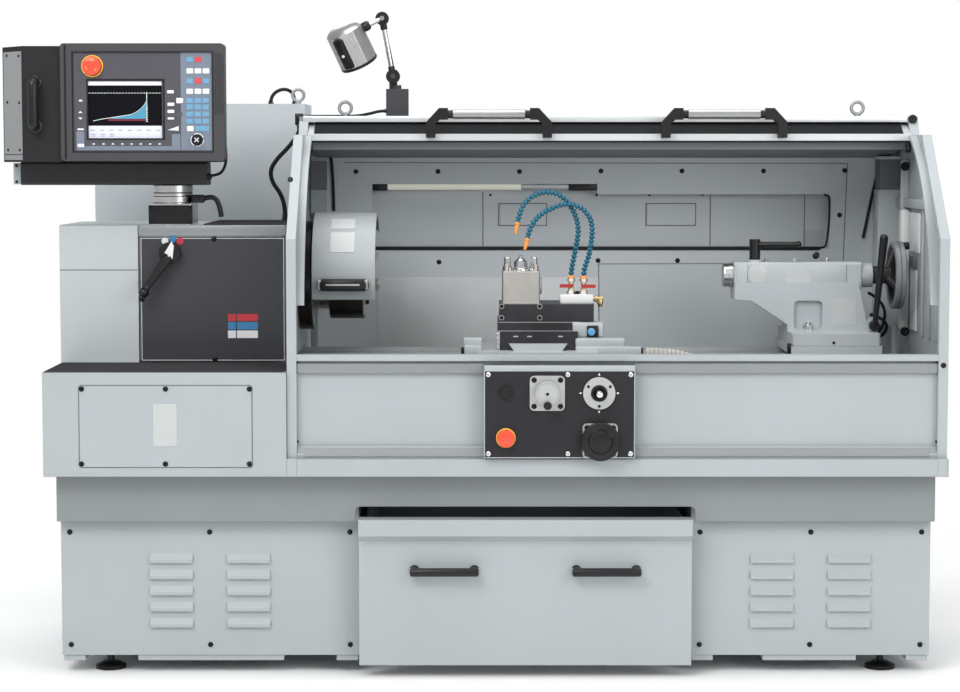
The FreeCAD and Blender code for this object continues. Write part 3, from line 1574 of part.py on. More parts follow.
def pendant_case():
    y0 = lip_front + case_front_set
    y1 = y0 + case_depth
    step = lip_front + pendant_front_set + pendant_depth
    right = pendant_left + pendant_width - 28
    plan = [
        (case_left, y0),
        (pendant_left, y0),
        (pendant_left, step),
        (right, step),
        (right, y1),
        (-overall_length / 2, y1),
        (-overall_length / 2, y0 + 95),
    ]
    x, y = pendant_pivot
    pin_bore = rod(pendant_pin_radius + turn_gap, Vector(x, y, case_bottom - 1),
                   Vector(x, y, case_bottom + pendant_pin_height + panel_gap))
    case = prism_z(plan, case_bottom, case_top).cut(pin_bore)
    x = case_left + 34
    bar = rod(9, Vector(x, y0 - 36, case_bottom + 104), Vector(x, y0 - 36, case_bottom + 218))
    ends = []
    for z in (case_bottom + 104, case_bottom + 218):
        ends.append(rod(7, Vector(x, y0 - 36, z), Vector(x, y0, z)))
        ends.append(ball(9, Vector(x, y0 - 36, z)))
    return join([case, bar] + ends)


def electrical_cabinet():
    y0 = lip_back
    y1 = cabinet_back
    sheet = cabinet_sheet
    shell = box(lip_left, cabinet_right, y0, y1, cabinet_bottom, cabinet_top)
    hollow = box(lip_left + sheet, cabinet_right - sheet, y0 + sheet, y1 - sheet,
                 cabinet_bottom + sheet, cabinet_top - sheet)
    drive = box(lip_left + 120, cabinet_right - 160, y0 + sheet, y0 + sheet + 120,
                cabinet_bottom + 300, cabinet_bottom + 700)
    return [shell.cut(hollow), drive]


def eye_bolt(x, y, z):
    shank = rod(eye_shank, Vector(x, y, z), Vector(x, y, z + 10))
    middle = Vector(x, y, z + 10 + eye_ring_radius)
    ring_shape = Part.makeTorus(eye_ring_radius, eye_wire_radius, middle, AXIS_Y)
    return join([shank, ring_shape])


def eye_bolts():
    return [eye_bolt(*place) for place in eye_places]


def lamp_base():
    x, y = lamp_x, lip_front + lamp_set
    z = roof_top
    foot = round_box(x - 33, x + 33, y - 33, y + 33, z, z + 84, 6, AXIS_Z)
    neck = rod(12, Vector(x, y, z + 84), Vector(x, y, z + 96))
    pivot = lamp_low.x
    ear = box(pivot - 12, pivot + 12, y + 13, y + 23, z + 84, lamp_low.z + 20)
    pin = rod(8, Vector(pivot, y + 14, lamp_low.z), Vector(pivot, y - 14, lamp_low.z))
    return join([foot, neck, ear, pin])


def lamp_arm():
    x, y, z = lamp_low.x, lamp_low.y, lamp_low.z
    barrel = rod(21, Vector(x, y - 12, z), Vector(x, y + 12, z))
    bore = rod(8 + turn_gap, Vector(x, y - 13, z), Vector(x, y + 13, z))
    top = rod(20, Vector(lamp_high.x, y - 12, lamp_high.z), Vector(lamp_high.x, y + 12, lamp_high.z))
    tube = rod(6, lamp_low + Vector(0, 0, 16), lamp_high)
    pin_bore = rod(lamp_pin_radius + turn_gap, Vector(lamp_high.x, y - 13, lamp_high.z),
                   Vector(lamp_high.x, y + 13, lamp_high.z))
    return cut(join([barrel, top, tube]), [bore, pin_bore])


def lamp_head():
    """Drum open at its mouth, hung from the arm's upper pin by a knuckle and a short stem."""
    x, y, z = lamp_high.x, lamp_high.y, lamp_high.z
    pin = rod(lamp_pin_radius, Vector(x, y + 12.2, z), Vector(x, y - 26, z))
    knuckle = lamp_high + lamp_knuckle_offset
    arm = rod(5.5, Vector(x, y - 20, z), knuckle)
    centre = lamp_high + lamp_drum_offset
    back = centre - lamp_axis * lamp_drum_length / 2
    mouth = centre + lamp_axis * lamp_drum_length / 2
    drum = rod(lamp_drum_radius, back, mouth)
    rims = [edge for edge in drum.Edges if len(edge.Vertexes) == 1 and (edge.CenterOfMass - back).Length < 1]
    drum = drum.makeChamfer(6, rims)
    recess = rod(lamp_drum_radius - lamp_mouth_rim, mouth - lamp_axis * lamp_mouth_depth, mouth + lamp_axis)
    stem = rod(9, knuckle, centre - lamp_axis * 30)
    return cut(join([drum, stem, ball(13, knuckle), arm, pin]), [recess])


def line(start, route, radius, name):
    points = [Vector(start[0] + x, start[1] + y, start[2] + z) for x, y, z in route]
    return cord(points, radius, name)


def service_lines():
    return [
        line(guard_hose_start, guard_hose_route + (guard_hose_end,), guard_hose_radius, "guard hose"),
        line(conduit_start, conduit_route, conduit_radius, "conduit"),
        line(lamp_lead_start, lamp_lead_route, lamp_lead_radius, "lamp lead"),
    ]


# Pendant controls

def pendant_stop():
    front = lip_front + pendant_front_set + 5
    return push_button(pendant_stop_place, front, stop_travel, 26, stop_stem, 14)


def override_dial():
    x, z = dial_place
    y = lip_front + pendant_front_set + 5 - panel_gap
    skirt = rod(15, Vector(x, y, z), Vector(x, y - 6, z))
    knob = cone(11, 10, Vector(x, y - 6, z), Vector(x, y - 18, z))
    return join([skirt, knob])


runner_reach = runner_width + drawer_side_gap
left_runner = drawer_runner(left_pedestal_x1, left_pedestal_x1 + runner_reach)
right_runner = drawer_runner(right_pedestal_x0 - runner_reach, right_pedestal_x0)
tunnel = belt_tunnel(pan_floor - 20, pan_floor + 1)
save("left_pedestal", pedestal(left_pedestal_x0, left_pedestal_x1, left_tab_bar, left_runner, [tunnel]))
save("right_pedestal", pedestal(right_pedestal_x0, right_pedestal_x1, right_tab_bar, right_runner, []))
save("levelling_feet", levelling_feet())
save("chip_pan", chip_pan())
save("chip_drawer", chip_drawer())
save("bed", bed())
save("feed_drive", feed_drive())
save("headstock", headstock())
save("spindle_bearings", spindle_bearings())
save("spindle", spindle())
save("chuck", chuck())
for number in range(3):
    save("jaw_" + str(number + 1), jaw(number))
save("chuck_guard", chuck_guard())
save("motor_housing", motor_housing())
save("motor_rotor", motor_rotor())
save("drive_belt", drive_belt())
save("face_plate", face_plate())
save("gear_lever", gear_lever())
save("gear_cover", gear_cover())
save("feed_box", feed_box())
save("end_guards", end_guards())
save("front_guard", front_guard())
save("back_guard", back_guard() + window_tray())
save("roof_panel", roof_panel())
save("hood_frame", hood_frame())
save("hood_window", hood_window())
save("hood_handles", hood_handles())
save("saddle", saddle())
save("apron", apron())
save("control_panel", control_panel())
save("cross_wheel", hand_wheel(*cross_wheel_place, cross_wheel_radius, (0, -30), 10, 22))
save("carriage_wheel", hand_wheel(*carriage_wheel_place, carriage_wheel_radius, (29, 25), 11, carriage_knob_length))
save("jog_stick", jog_stick())
save("cycle_button", push_button(button_place, panel_front - 5, button_travel, button_radius, button_stem, 7))
save("panel_stop", push_button(stop_place, panel_front - 5, stop_travel, stop_radius, stop_stem, 14))
save("cross_slide", cross_slide())
save("toolpost", toolpost())
save("coolant_manifold", coolant_manifold())
save("coolant_hoses", coolant_hoses())
save("valve_left", valve_handle(hose_feet[0], -1))
save("valve_right", valve_handle(hose_feet[1], 1))
save("tailstock", tailstock())
save("quill", quill())
save("tailstock_wheel", tailstock_wheel())
save("quill_lock", quill_lock())
save("clamp_lever", clamp_lever())
save("pendant_post", pendant_post())
save("pendant_arm", pendant_arm())
save("pendant_head", pendant_head())
save("pendant_case", pendant_case())
save("pendant_stop", pendant_stop())
save("override_dial", override_dial())
save("electrical_cabinet", electrical_cabinet())
save("eye_bolts", eye_bolts())
save("lamp_base", lamp_base())
save("lamp_arm", lamp_arm())
save("lamp_head", lamp_head())
save("service_lines", service_lines())
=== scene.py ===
import math

import bmesh
import bpy
from mathutils import Matrix, Vector


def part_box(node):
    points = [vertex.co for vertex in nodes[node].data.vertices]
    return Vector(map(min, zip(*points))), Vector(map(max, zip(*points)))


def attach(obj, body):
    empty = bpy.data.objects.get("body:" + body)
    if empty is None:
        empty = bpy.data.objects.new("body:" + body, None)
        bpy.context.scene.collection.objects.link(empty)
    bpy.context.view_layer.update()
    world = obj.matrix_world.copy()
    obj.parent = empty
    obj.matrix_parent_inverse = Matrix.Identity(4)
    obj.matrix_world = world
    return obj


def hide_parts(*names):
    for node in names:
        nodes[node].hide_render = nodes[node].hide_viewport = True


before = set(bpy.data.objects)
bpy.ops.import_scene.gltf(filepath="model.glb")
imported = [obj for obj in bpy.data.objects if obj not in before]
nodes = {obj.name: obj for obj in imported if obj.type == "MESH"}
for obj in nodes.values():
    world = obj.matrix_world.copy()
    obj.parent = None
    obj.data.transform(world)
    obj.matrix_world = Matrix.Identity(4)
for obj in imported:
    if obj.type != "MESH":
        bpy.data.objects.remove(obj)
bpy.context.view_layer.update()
mm = 0.001

view = {"place": (23.75, -7185.0, 1460.0), "pitch": 4.55, "focal": 2400.0, "width": 960.0, "height": 692.0}


# X and Z in millimetres where the photograph's pixel meets a vertical plane
def onPlane(px, py, planeY):
    pitch = math.radians(view["pitch"])
    across = px - view["width"] / 2
    up = view["height"] / 2 - py
    rayY = view["focal"] * math.cos(pitch) + up * math.sin(pitch)
    rayZ = up * math.cos(pitch) - view["focal"] * math.sin(pitch)
    reach = (planeY - view["place"][1]) / rayY
    return view["place"][0] + across * reach, view["place"][2] + rayZ * reach


# Materials

finishes = {}


def nodeMaterial(name):
    material = bpy.data.materials.new(name)
    material.use_nodes = True
    tree = material.node_tree
    shader = tree.nodes["Principled BSDF"]
    coordinates = tree.nodes.new("ShaderNodeTexCoord")
    return material, tree, shader, coordinates.outputs["Object"]


def noiseNode(tree, source, scale, detail=3.0, stretch=(1, 1, 1)):
    mapping = tree.nodes.new("ShaderNodeMapping")
    mapping.inputs["Scale"].default_value = stretch
    tree.links.new(source, mapping.inputs["Vector"])
    noise = tree.nodes.new("ShaderNodeTexNoise")
    noise.inputs["Scale"].default_value = scale
    noise.inputs["Detail"].default_value = detail
    tree.links.new(mapping.outputs["Vector"], noise.inputs["Vector"])
    return noise.outputs["Fac"]


def rampNode(tree, source, low, high, lowAt=0.35, highAt=0.65):
    ramp = tree.nodes.new("ShaderNodeValToRGB")
    ramp.color_ramp.elements[0].position = lowAt
    ramp.color_ramp.elements[1].position = highAt
    ramp.color_ramp.elements[0].color = (*low, 1)
    ramp.color_ramp.elements[1].color = (*high, 1)
    tree.links.new(source, ramp.inputs["Fac"])
    return ramp.outputs["Color"]


# Procedural finish: slow tone variation, fine grain in the bump and broken-up roughness
def finish(name, colour, roughness, metallic=0.0, spread=0.04, scale=6.0, grain=900.0, bump=0.05,
        stretch=(1, 1, 1), coat=0.0, roughSpread=0.08, edge=0.0, specular=0.5):
    material, tree, shader, source = nodeMaterial(name)
    slow = noiseNode(tree, source, scale, 4.0)
    low = [max(0.0, value * (1 - spread)) for value in colour]
    high = [min(1.0, value * (1 + spread)) for value in colour]
    tree.links.new(rampNode(tree, slow, low, high), shader.inputs["Base Color"])
    fine = noiseNode(tree, source, grain, 2.0, stretch)
    patch = noiseNode(tree, source, scale * 4, 5.0, stretch)
    spreadNode = tree.nodes.new("ShaderNodeMapRange")
    spreadNode.inputs["To Min"].default_value = max(0.02, roughness - roughSpread)
    spreadNode.inputs["To Max"].default_value = min(1.0, roughness + roughSpread)
    tree.links.new(patch, spreadNode.inputs["Value"])
    tree.links.new(spreadNode.outputs["Result"], shader.inputs["Roughness"])
    bumpNode = tree.nodes.new("ShaderNodeBump")
    bumpNode.inputs["Strength"].default_value = bump
    bumpNode.inputs["Distance"].default_value = 0.0006
    tree.links.new(fine, bumpNode.inputs["Height"])
    if edge:
        bevel = tree.nodes.new("ShaderNodeBevel")
        bevel.samples = 3
        bevel.inputs["Radius"].default_value = edge
        tree.links.new(bevel.outputs["Normal"], bumpNode.inputs["Normal"])
    tree.links.new(bumpNode.outputs["Normal"], shader.inputs["Normal"])
    shader.inputs["Metallic"].default_value = metallic
    shader.inputs["Coat Weight"].default_value = coat
    shader.inputs["Specular IOR Level"].default_value = specular
    finishes[name] = material


# Painted shade by height: the colour is multiplied by a tone that changes from low to high between the two
# heights, in metres
def heightShade(material, low, high, heights):
    tree = material.node_tree
    shader = tree.nodes["Principled BSDF"]
    spot = tree.nodes.new("ShaderNodeTexCoord")
    split = tree.nodes.new("ShaderNodeSeparateXYZ")
    tree.links.new(spot.outputs["Object"], split.inputs[0])
    level = tree.nodes.new("ShaderNodeMapRange")
    level.inputs["From Min"].default_value, level.inputs["From Max"].default_value = heights
    tree.links.new(split.outputs["Z"], level.inputs["Value"])
    tone = rampNode(tree, level.outputs["Result"], low, high, 0.0, 1.0)
    mix = tree.nodes.new("ShaderNodeMix")
    mix.data_type = "RGBA"
    mix.blend_type = "MULTIPLY"
    mix.inputs["Factor"].default_value = 1.0
    base = shader.inputs["Base Color"].links[0].from_socket
    tree.links.new(base, mix.inputs["A"])
    tree.links.new(tone, mix.inputs["B"])
    tree.links.new(mix.outputs["Result"], shader.inputs["Base Color"])


# Printed or lit surface with a faint mottling
def plain(name, colour, roughness=0.5, glow=0.0, specular=0.5):
    material, tree, shader, source = nodeMaterial(name)
    fac = noiseNode(tree, source, 60.0)
    low = [value * 0.97 for value in colour]
    tree.links.new(rampNode(tree, fac, low, colour), shader.inputs["Base Color"])
    shader.inputs["Roughness"].default_value = roughness
    shader.inputs["Specular IOR Level"].default_value = specular
    if glow:
        shader.inputs["Emission Color"].default_value = (*colour, 1)
        shader.inputs["Emission Strength"].default_value = glow
    finishes[name] = material


def glassFinish(name, colour, alpha):
    material, tree, shader, source = nodeMaterial(name)
    fac = noiseNode(tree, source, 3.0)
    tree.links.new(rampNode(tree, fac, [value * 0.9 for value in colour], colour),
        shader.inputs["Base Color"])
    shader.inputs["Roughness"].default_value = 0.12
    shader.inputs["Alpha"].default_value = alpha
    finishes[name] = material


finish("paint", (0.36, 0.392, 0.405), 0.44, spread=0.025, scale=2.0, grain=700, bump=0.10, edge=0.0022)
# Painted light: the outside paint made lighter to stand in for light on the inner walls
finish("innerPaintLightened", (0.50, 0.54, 0.56), 0.48, spread=0.03, scale=2.0, grain=700, bump=0.10, edge=0.0022)
finish("castPaint", (0.41, 0.44, 0.455), 0.36, spread=0.03, scale=5.0, grain=160, bump=0.22, edge=0.004)
finish("darkPanel", (0.030, 0.031, 0.036), 0.46, spread=0.06, scale=4.0, grain=900, bump=0.10, edge=0.0015)
finish("darkCase", (0.0085, 0.008, 0.0095), 0.62, spread=0.08, scale=4.0, grain=1100, specular=0.32,
    bump=0.30, edge=0.002)
finish("coverBlack", (0.006, 0.006, 0.007), 0.62, spread=0.06, scale=4.0, grain=900, bump=0.10,
    specular=0.16)
finish("armPaint", (0.030, 0.0295, 0.033), 0.60, spread=0.08, scale=4.0, grain=1100, bump=0.28, edge=0.002,
    specular=0.4)
finish("bezel", (0.036, 0.0345, 0.039), 0.54, spread=0.06, scale=4.0, grain=1400, bump=0.28, edge=0.002)
# Same colour as paint; the painted shade under the lip is added further down
finish("panShadePaint", (0.36, 0.392, 0.405), 0.46, spread=0.03, scale=2.0, grain=700, bump=0.10, edge=0.0022)
finish("doorPaint", (0.44, 0.475, 0.49), 0.44, spread=0.025, scale=2.0, grain=700, bump=0.10, edge=0.0022)
finish("guardPaint", (0.315, 0.338, 0.350), 0.42, spread=0.03, scale=3.0, grain=500, bump=0.12, edge=0.003)
# Painted shade: a darker copy of the paint for the roof underside and the bands under the front rail
finish("shadowPaint", (0.225, 0.240, 0.252), 0.46, spread=0.03, scale=3.0, grain=700, bump=0.08, edge=0.0015)
finish("lidPaint", (0.27, 0.285, 0.29), 0.36, metallic=0.25, spread=0.03, scale=4.0, grain=620, bump=0.08,
    stretch=(0.05, 1, 1), edge=0.0015)
finish("panelFace", (0.012, 0.0115, 0.0145), 0.58, specular=0.36, spread=0.06, scale=4.0, grain=900,
    bump=0.10, edge=0.0015)
finish("dullSteel", (0.33, 0.34, 0.35), 0.46, metallic=0.5, spread=0.08, scale=20.0, grain=500, bump=0.1,
    edge=0.001)
finish("lampSilver", (0.40, 0.40, 0.395), 0.30, metallic=1.0, spread=0.04, scale=12.0, grain=620, bump=0.08,
    stretch=(0.05, 1, 1))
finish("overlay", (0.060, 0.057, 0.070), 0.42, spread=0.03, scale=5.0, grain=1500, bump=0.05)
finish("overlayLight", (0.155, 0.185, 0.235), 0.40, spread=0.03, scale=5.0, grain=1500, bump=0.05)
finish("mat", (0.028, 0.0275, 0.031), 0.80, spread=0.15, scale=9.0, grain=260, bump=0.45)
finish("bedIron", (0.40, 0.41, 0.415), 0.48, metallic=0.25, spread=0.12, scale=5.0, grain=320, bump=0.16,
    stretch=(0.05, 1, 1), edge=0.002)
finish("steel", (0.60, 0.60, 0.60), 0.27, metallic=1.0, spread=0.08, scale=9.0, grain=420, bump=0.12,
    stretch=(1, 0.06, 0.06), edge=0.001)
finish("groundSteel", (0.52, 0.50, 0.47), 0.40, metallic=1.0, spread=0.05, scale=14.0, grain=700, bump=0.10,
    stretch=(1, 1, 0.08), edge=0.0015)
finish("blackIron", (0.042, 0.041, 0.046), 0.42, metallic=0.55, spread=0.18, scale=12.0, grain=420,
    bump=0.16, edge=0.0015)
finish("nose", (0.025, 0.022, 0.020), 0.30, metallic=0.7, spread=0.3, scale=8.0, grain=500, bump=0.08,
    edge=0.001)
finish("blackPlastic", (0.0075, 0.0075, 0.0088), 0.34, specular=0.36, spread=0.1, scale=10.0, grain=1500,
    bump=0.12, edge=0.001)
finish("screwBlack", (0.010, 0.011, 0.013), 0.34, metallic=0.6, spread=0.1, scale=60.0, grain=1800,
    bump=0.05)
finish("silver", (0.66, 0.66, 0.655), 0.26, metallic=1.0, spread=0.04, scale=12.0, grain=620, bump=0.08,
    stretch=(0.05, 1, 1))
finish("chrome", (0.70, 0.70, 0.69), 0.14, metallic=1.0, spread=0.03, scale=14.0, grain=900, bump=0.03)
finish("rail", (0.60, 0.63, 0.64), 0.34, metallic=0.35, spread=0.03, scale=4.0, grain=620, bump=0.08,
    stretch=(0.05, 1, 1), edge=0.0015)
finish("plateMetal", (0.43, 0.44, 0.435), 0.38, metallic=0.25, spread=0.04, scale=14.0, grain=900,
    bump=0.08, edge=0.001)
finish("trayPaint", (0.60, 0.62, 0.62), 0.5, spread=0.10, scale=3.0, grain=700, bump=0.1)
finish("whiteMetal", (0.73, 0.74, 0.735), 0.34, spread=0.03, scale=14.0, grain=900, bump=0.08, edge=0.001)
finish("brass", (0.66, 0.50, 0.26), 0.28, metallic=1.0, spread=0.10, scale=60.0, grain=1400, bump=0.08)
finish("hoseBlue", (0.012, 0.120, 0.190), 0.26, spread=0.12, scale=60.0, grain=1400, bump=0.06)
finish("orange", (0.86, 0.32, 0.07), 0.36, spread=0.06, scale=60.0, grain=1400, bump=0.06)
finish("red", (0.80, 0.060, 0.025), 0.30, spread=0.06, scale=40.0, grain=1400, bump=0.04, coat=0.4)
finish("darkRed", (0.42, 0.025, 0.022), 0.36, spread=0.1, scale=60.0, grain=1400, bump=0.06)
finish("yellow", (0.86, 0.50, 0.05), 0.36, spread=0.05, scale=40.0, grain=1400, bump=0.04)
finish("blueCap", (0.12, 0.36, 0.60), 0.36, spread=0.06, scale=60.0, grain=1400, bump=0.05)
finish("rubber", (0.008, 0.008, 0.009), 0.60, specular=0.3, spread=0.2, scale=30.0, grain=900, bump=0.2)
finish("beige", (0.55, 0.54, 0.49), 0.5, spread=0.08, scale=30.0, grain=900, bump=0.1)
# Painted light: the outside paint made lighter to stand in for light on the back wall
finish("wallPaintLitShaded", (0.52, 0.56, 0.58), 0.48, spread=0.03, scale=2.0, grain=700, bump=0.10, edge=0.0022)
glassFinish("window", (0.018, 0.020, 0.022), 0.86)
plain("barePlate", (0.47, 0.49, 0.485), 0.36)
plain("line", (0.62, 0.62, 0.64), 0.4)
plain("groove", (0.16, 0.17, 0.18), 0.7)
plain("keyBlue", (0.14, 0.31, 0.47), 0.34)
plain("keyWhite", (0.70, 0.72, 0.74), 0.34)
plain("keyRed", (0.60, 0.055, 0.070), 0.34)
plain("keyDark", (0.070, 0.078, 0.090), 0.4)
plain("legendRed", (0.52, 0.025, 0.040), 0.4)
plain("legendBlue", (0.035, 0.20, 0.42), 0.4)
plain("legendWhite", (0.74, 0.74, 0.75), 0.4)
plain("screenBlack", (0.006, 0.006, 0.008), 0.12, specular=0.08)
plain("screenWhite", (0.74, 0.76, 0.84), 0.2, 0.35)
plain("screenGrey", (0.56, 0.58, 0.68), 0.2, 0.25)
plain("screenLine", (0.60, 0.68, 0.62), 0.3, 0.5)
plain("screenBlue", (0.05, 0.22, 0.33), 0.3, 0.4)
plain("screenRed", (0.13, 0.01, 0.03), 0.3, 0.2)
plain("tube", (0.80, 0.80, 0.70), 0.3, 0.22)
# Painted shade: the chip pan band below 0.5715 m is darkened to 0.60, the shadow under the lip
heightShade(finishes["panShadePaint"], [0.60] * 3, [1.0] * 3, (0.5715, 0.5725))
# Painted shade: the back guard above 1.4505 m, its roof slope, is darkened to 0.34
heightShade(finishes["wallPaintLitShaded"], [1.0] * 3, [0.34] * 3, (1.4505, 1.4525))
print("materials", len(finishes))

nodeFinish = {"left_pedestal": "paint", "right_pedestal": "paint", "levelling_feet": "screwBlack",
    "chip_pan": "panShadePaint", "bed": "bedIron", "feed_drive": "steel", "headstock": "castPaint",
    "face_plate": "darkPanel", "gear_cover": "doorPaint", "feed_box": "paint", "spindle_bearings": "steel",
    "end_guards": "paint", "front_guard": "paint", "back_guard": "wallPaintLitShaded", "roof_panel": "shadowPaint",
    "electrical_cabinet": "innerPaintLightened", "eye_bolts": "dullSteel", "motor_housing": "blackIron",
    "drive_belt": "rubber", "pendant_post": "steel", "lamp_base": "darkPanel", "spindle": "steel",
    "chuck": "steel", "jaw_1": "groundSteel", "jaw_2": "groundSteel", "jaw_3": "groundSteel",
    "motor_rotor": "steel", "chuck_guard": "guardPaint", "hood_frame": "rail", "hood_window": "window",
    "hood_handles": "blackPlastic", "gear_lever": "blackPlastic", "pendant_arm": "armPaint",
    "pendant_head": "bezel", "pendant_case": "darkCase", "pendant_stop": "red",
    "override_dial": "blackPlastic", "saddle": "castPaint", "apron": "castPaint",
    "control_panel": "panelFace", "cross_wheel": "plateMetal", "carriage_wheel": "blackPlastic",
    "jog_stick": "steel", "cycle_button": "blackPlastic", "panel_stop": "red", "cross_slide": "blackIron",
    "toolpost": "groundSteel", "valve_left": "darkRed", "valve_right": "darkRed", "tailstock": "castPaint",
    "quill": "steel", "tailstock_wheel": "blackIron", "quill_lock": "blackPlastic",
    "clamp_lever": "blackPlastic", "lamp_arm": "blackPlastic", "chip_drawer": "paint",
    "coolant_manifold": "whiteMetal", "coolant_hoses": "hoseBlue", "service_lines": "rubber",
    "lamp_head": "lampSilver", }
for name, node in nodes.items():
    node.data.materials.clear()
    node.data.materials.append(finishes[nodeFinish[name]])
print("nodes dressed", len(nodes))


# Mesh helpers, in millimetres: they add to one working mesh, which each piece empties

mesh = bmesh.new()

def rotationTo(axis):
    return Vector((0, 0, 1)).rotation_difference(Vector(axis).normalized()).to_matrix().to_4x4()


# Box with rounded edges; slant turns it about its own centre
def addBox(low, high, bevel=0.0, slant=None):
    low, high = Vector(low), Vector(high)
    size = high - low
    place = Matrix.Translation((low + high) / 2)
    if slant:
        place = place @ slant.to_4x4()
    scale = Matrix.Diagonal((*size, 1))
    made = bmesh.ops.create_cube(mesh, size=1.0, matrix=place @ scale)
    if bevel:
        edges = {edge for vert in made["verts"] for edge in vert.link_edges}
        bmesh.ops.bevel(mesh, geom=list(edges), offset=min(bevel, min(size) * 0.45), segments=2,
            profile=0.5, affect="EDGES")


def addRing(points):
    return [mesh.verts.new(point) for point in points]


def addFace(points):
    mesh.faces.new(addRing(points))


# Quads between neighbouring rings, with a cap at each end
def joinRings(rings, caps=True, around=False):
    for first, second in zip(rings, rings[1:] + rings[:1] if around else rings[1:]):
        for number in range(len(first)):
            after = (number + 1) % len(first)
            mesh.faces.new((first[number], first[after], second[after], second[number]))
    if caps:
        mesh.faces.new(list(reversed(rings[0])))
        mesh.faces.new(rings[-1])


# Box from its spans along X, Y and Z
def addSpan(spans, bevel):
    low, high = zip(*(spans[key] for key in "xyz"))
    addBox(low, high, bevel)


# Rings at (distance along the axis, radius), joined and capped
def addRevolve(base, axis, profile, sides=32, closed=True):
    turn = Matrix.Translation(Vector(base)) @ rotationTo(axis)
    circle = [2 * math.pi * number / sides for number in range(sides)]
    joinRings([addRing(turn @ Vector((radius * math.cos(angle), radius * math.sin(angle), along))
        for angle in circle) for along, radius in profile], closed)


# Flat plate facing the operator: x0, x1, z0, z1 and its back and front planes
def addPlate(corners, depth, radius=0.0):
    x0, x1, z0, z1 = corners
    radius = min(radius, (x1 - x0) * 0.49, (z1 - z0) * 0.49)
    outline = [(x0, z0), (x1, z0), (x1, z1), (x0, z1)]
    if radius > 0:
        turns = ((x1 - radius, z0 + radius, -90), (x1 - radius, z1 - radius, 0),
            (x0 + radius, z1 - radius, 90), (x0 + radius, z0 + radius, 180))
        outline = [(cx + radius * math.cos(math.radians(start + step * 22.5)),
            cz + radius * math.sin(math.radians(start + step * 22.5))) for cx, cz, start in turns
            for step in range(5)]
    joinRings([addRing((x, y, z) for x, z in outline) for y in depth])


# Flat plate with a round hole
def addPunched(corners, depth, centre, radius, sides=32):
    x0, x1, z0, z1 = corners
    angles = [2 * math.pi * number / sides for number in range(sides)]
    angles += [math.atan2(z - centre[1], x - centre[0]) % (2 * math.pi) for x in (x0, x1) for z in (z0, z1)]
    rings = []
    for angle in sorted(angles):
        across, up = math.cos(angle), math.sin(angle)
        sideways = ((x1 if across > 0 else x0) - centre[0]) / across if abs(across) > 1e-6 else 1e6
        upwards = ((z1 if up > 0 else z0) - centre[1]) / up if abs(up) > 1e-6 else 1e6
        reach = min(sideways, upwards)
        sizes = ((radius, depth[0]), (reach, depth[0]), (reach, depth[1]), (radius, depth[1]))
        rings.append(addRing((centre[0] + across * size, y, centre[1] + up * size) for size, y in sizes))
    joinRings(rings, False, True)


# Rectangular line border in four strips
def addFrame(corners, depth, width):
    x0, x1, z0, z1 = corners
    for strip in ((x0, x1, z0, z0 + width), (x0, x1, z1 - width, z1),
            (x0, x0 + width, z0 + width, z1 - width), (x1 - width, x1, z0 + width, z1 - width)):
        addPlate(strip, depth)


# The working mesh as mesh data in metres
def shaped(name, smooth=True):
    bmesh.ops.recalc_face_normals(mesh, faces=mesh.faces)
    for vert in mesh.verts:
        vert.co *= mm
    data = bpy.data.meshes.new(name)
    mesh.to_mesh(data)
    mesh.clear()
    if smooth:
        data.shade_smooth()
        data.set_sharp_from_angle(angle=math.radians(32))
    return data


def addObject(name, data):
    made = bpy.data.objects.new(name, data)
    bpy.context.scene.collection.objects.link(made)
    return made


# A finished piece: its material and the body that it rides on
def settle(name, data, finishName, body):
    data.materials.clear()
    data.materials.append(finishes[finishName])
    made = addObject(name, data)
    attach(made, body)
    return made


def piece(name, finishName, body, smooth=True):
    return settle(name, shaped(name, smooth), finishName, body)


# The object's evaluated mesh; the object itself goes
def solved(name, holder):
    bpy.context.view_layer.update()
    data = bpy.data.meshes.new_from_object(holder.evaluated_get(bpy.context.evaluated_depsgraph_get()))
    bpy.data.objects.remove(holder)
    data.name = name
    return data


def nurbsLine(name, points, resolution, radius=0.0):
    curve = bpy.data.curves.new(name, "CURVE")
    curve.dimensions = "3D"
    spline = curve.splines.new("NURBS")
    spline.points.add(len(points) - 1)
    for target, point in zip(spline.points, points):
        target.co = (*(Vector(point) * mm), 1)
    spline.order_u = 3
    spline.use_endpoint_u = True
    curve.resolution_u = resolution
    if radius:
        curve.bevel_depth = radius * mm
        curve.bevel_resolution = 4
        curve.use_fill_caps = True
    return addObject(name + "Line", curve)


# Round bar or hose along one NURBS line
def sweep(name, points, radius, finishName, body):
    data = solved(name, nurbsLine(name, points, 10, radius))
    data.shade_smooth()
    data.set_sharp_from_angle(angle=math.radians(40))
    return settle(name, data, finishName, body)


# Hidden mesh that Geometry Nodes place many times
def stored(name, build):
    build()
    return bpy.data.objects.new(name, shaped(name))


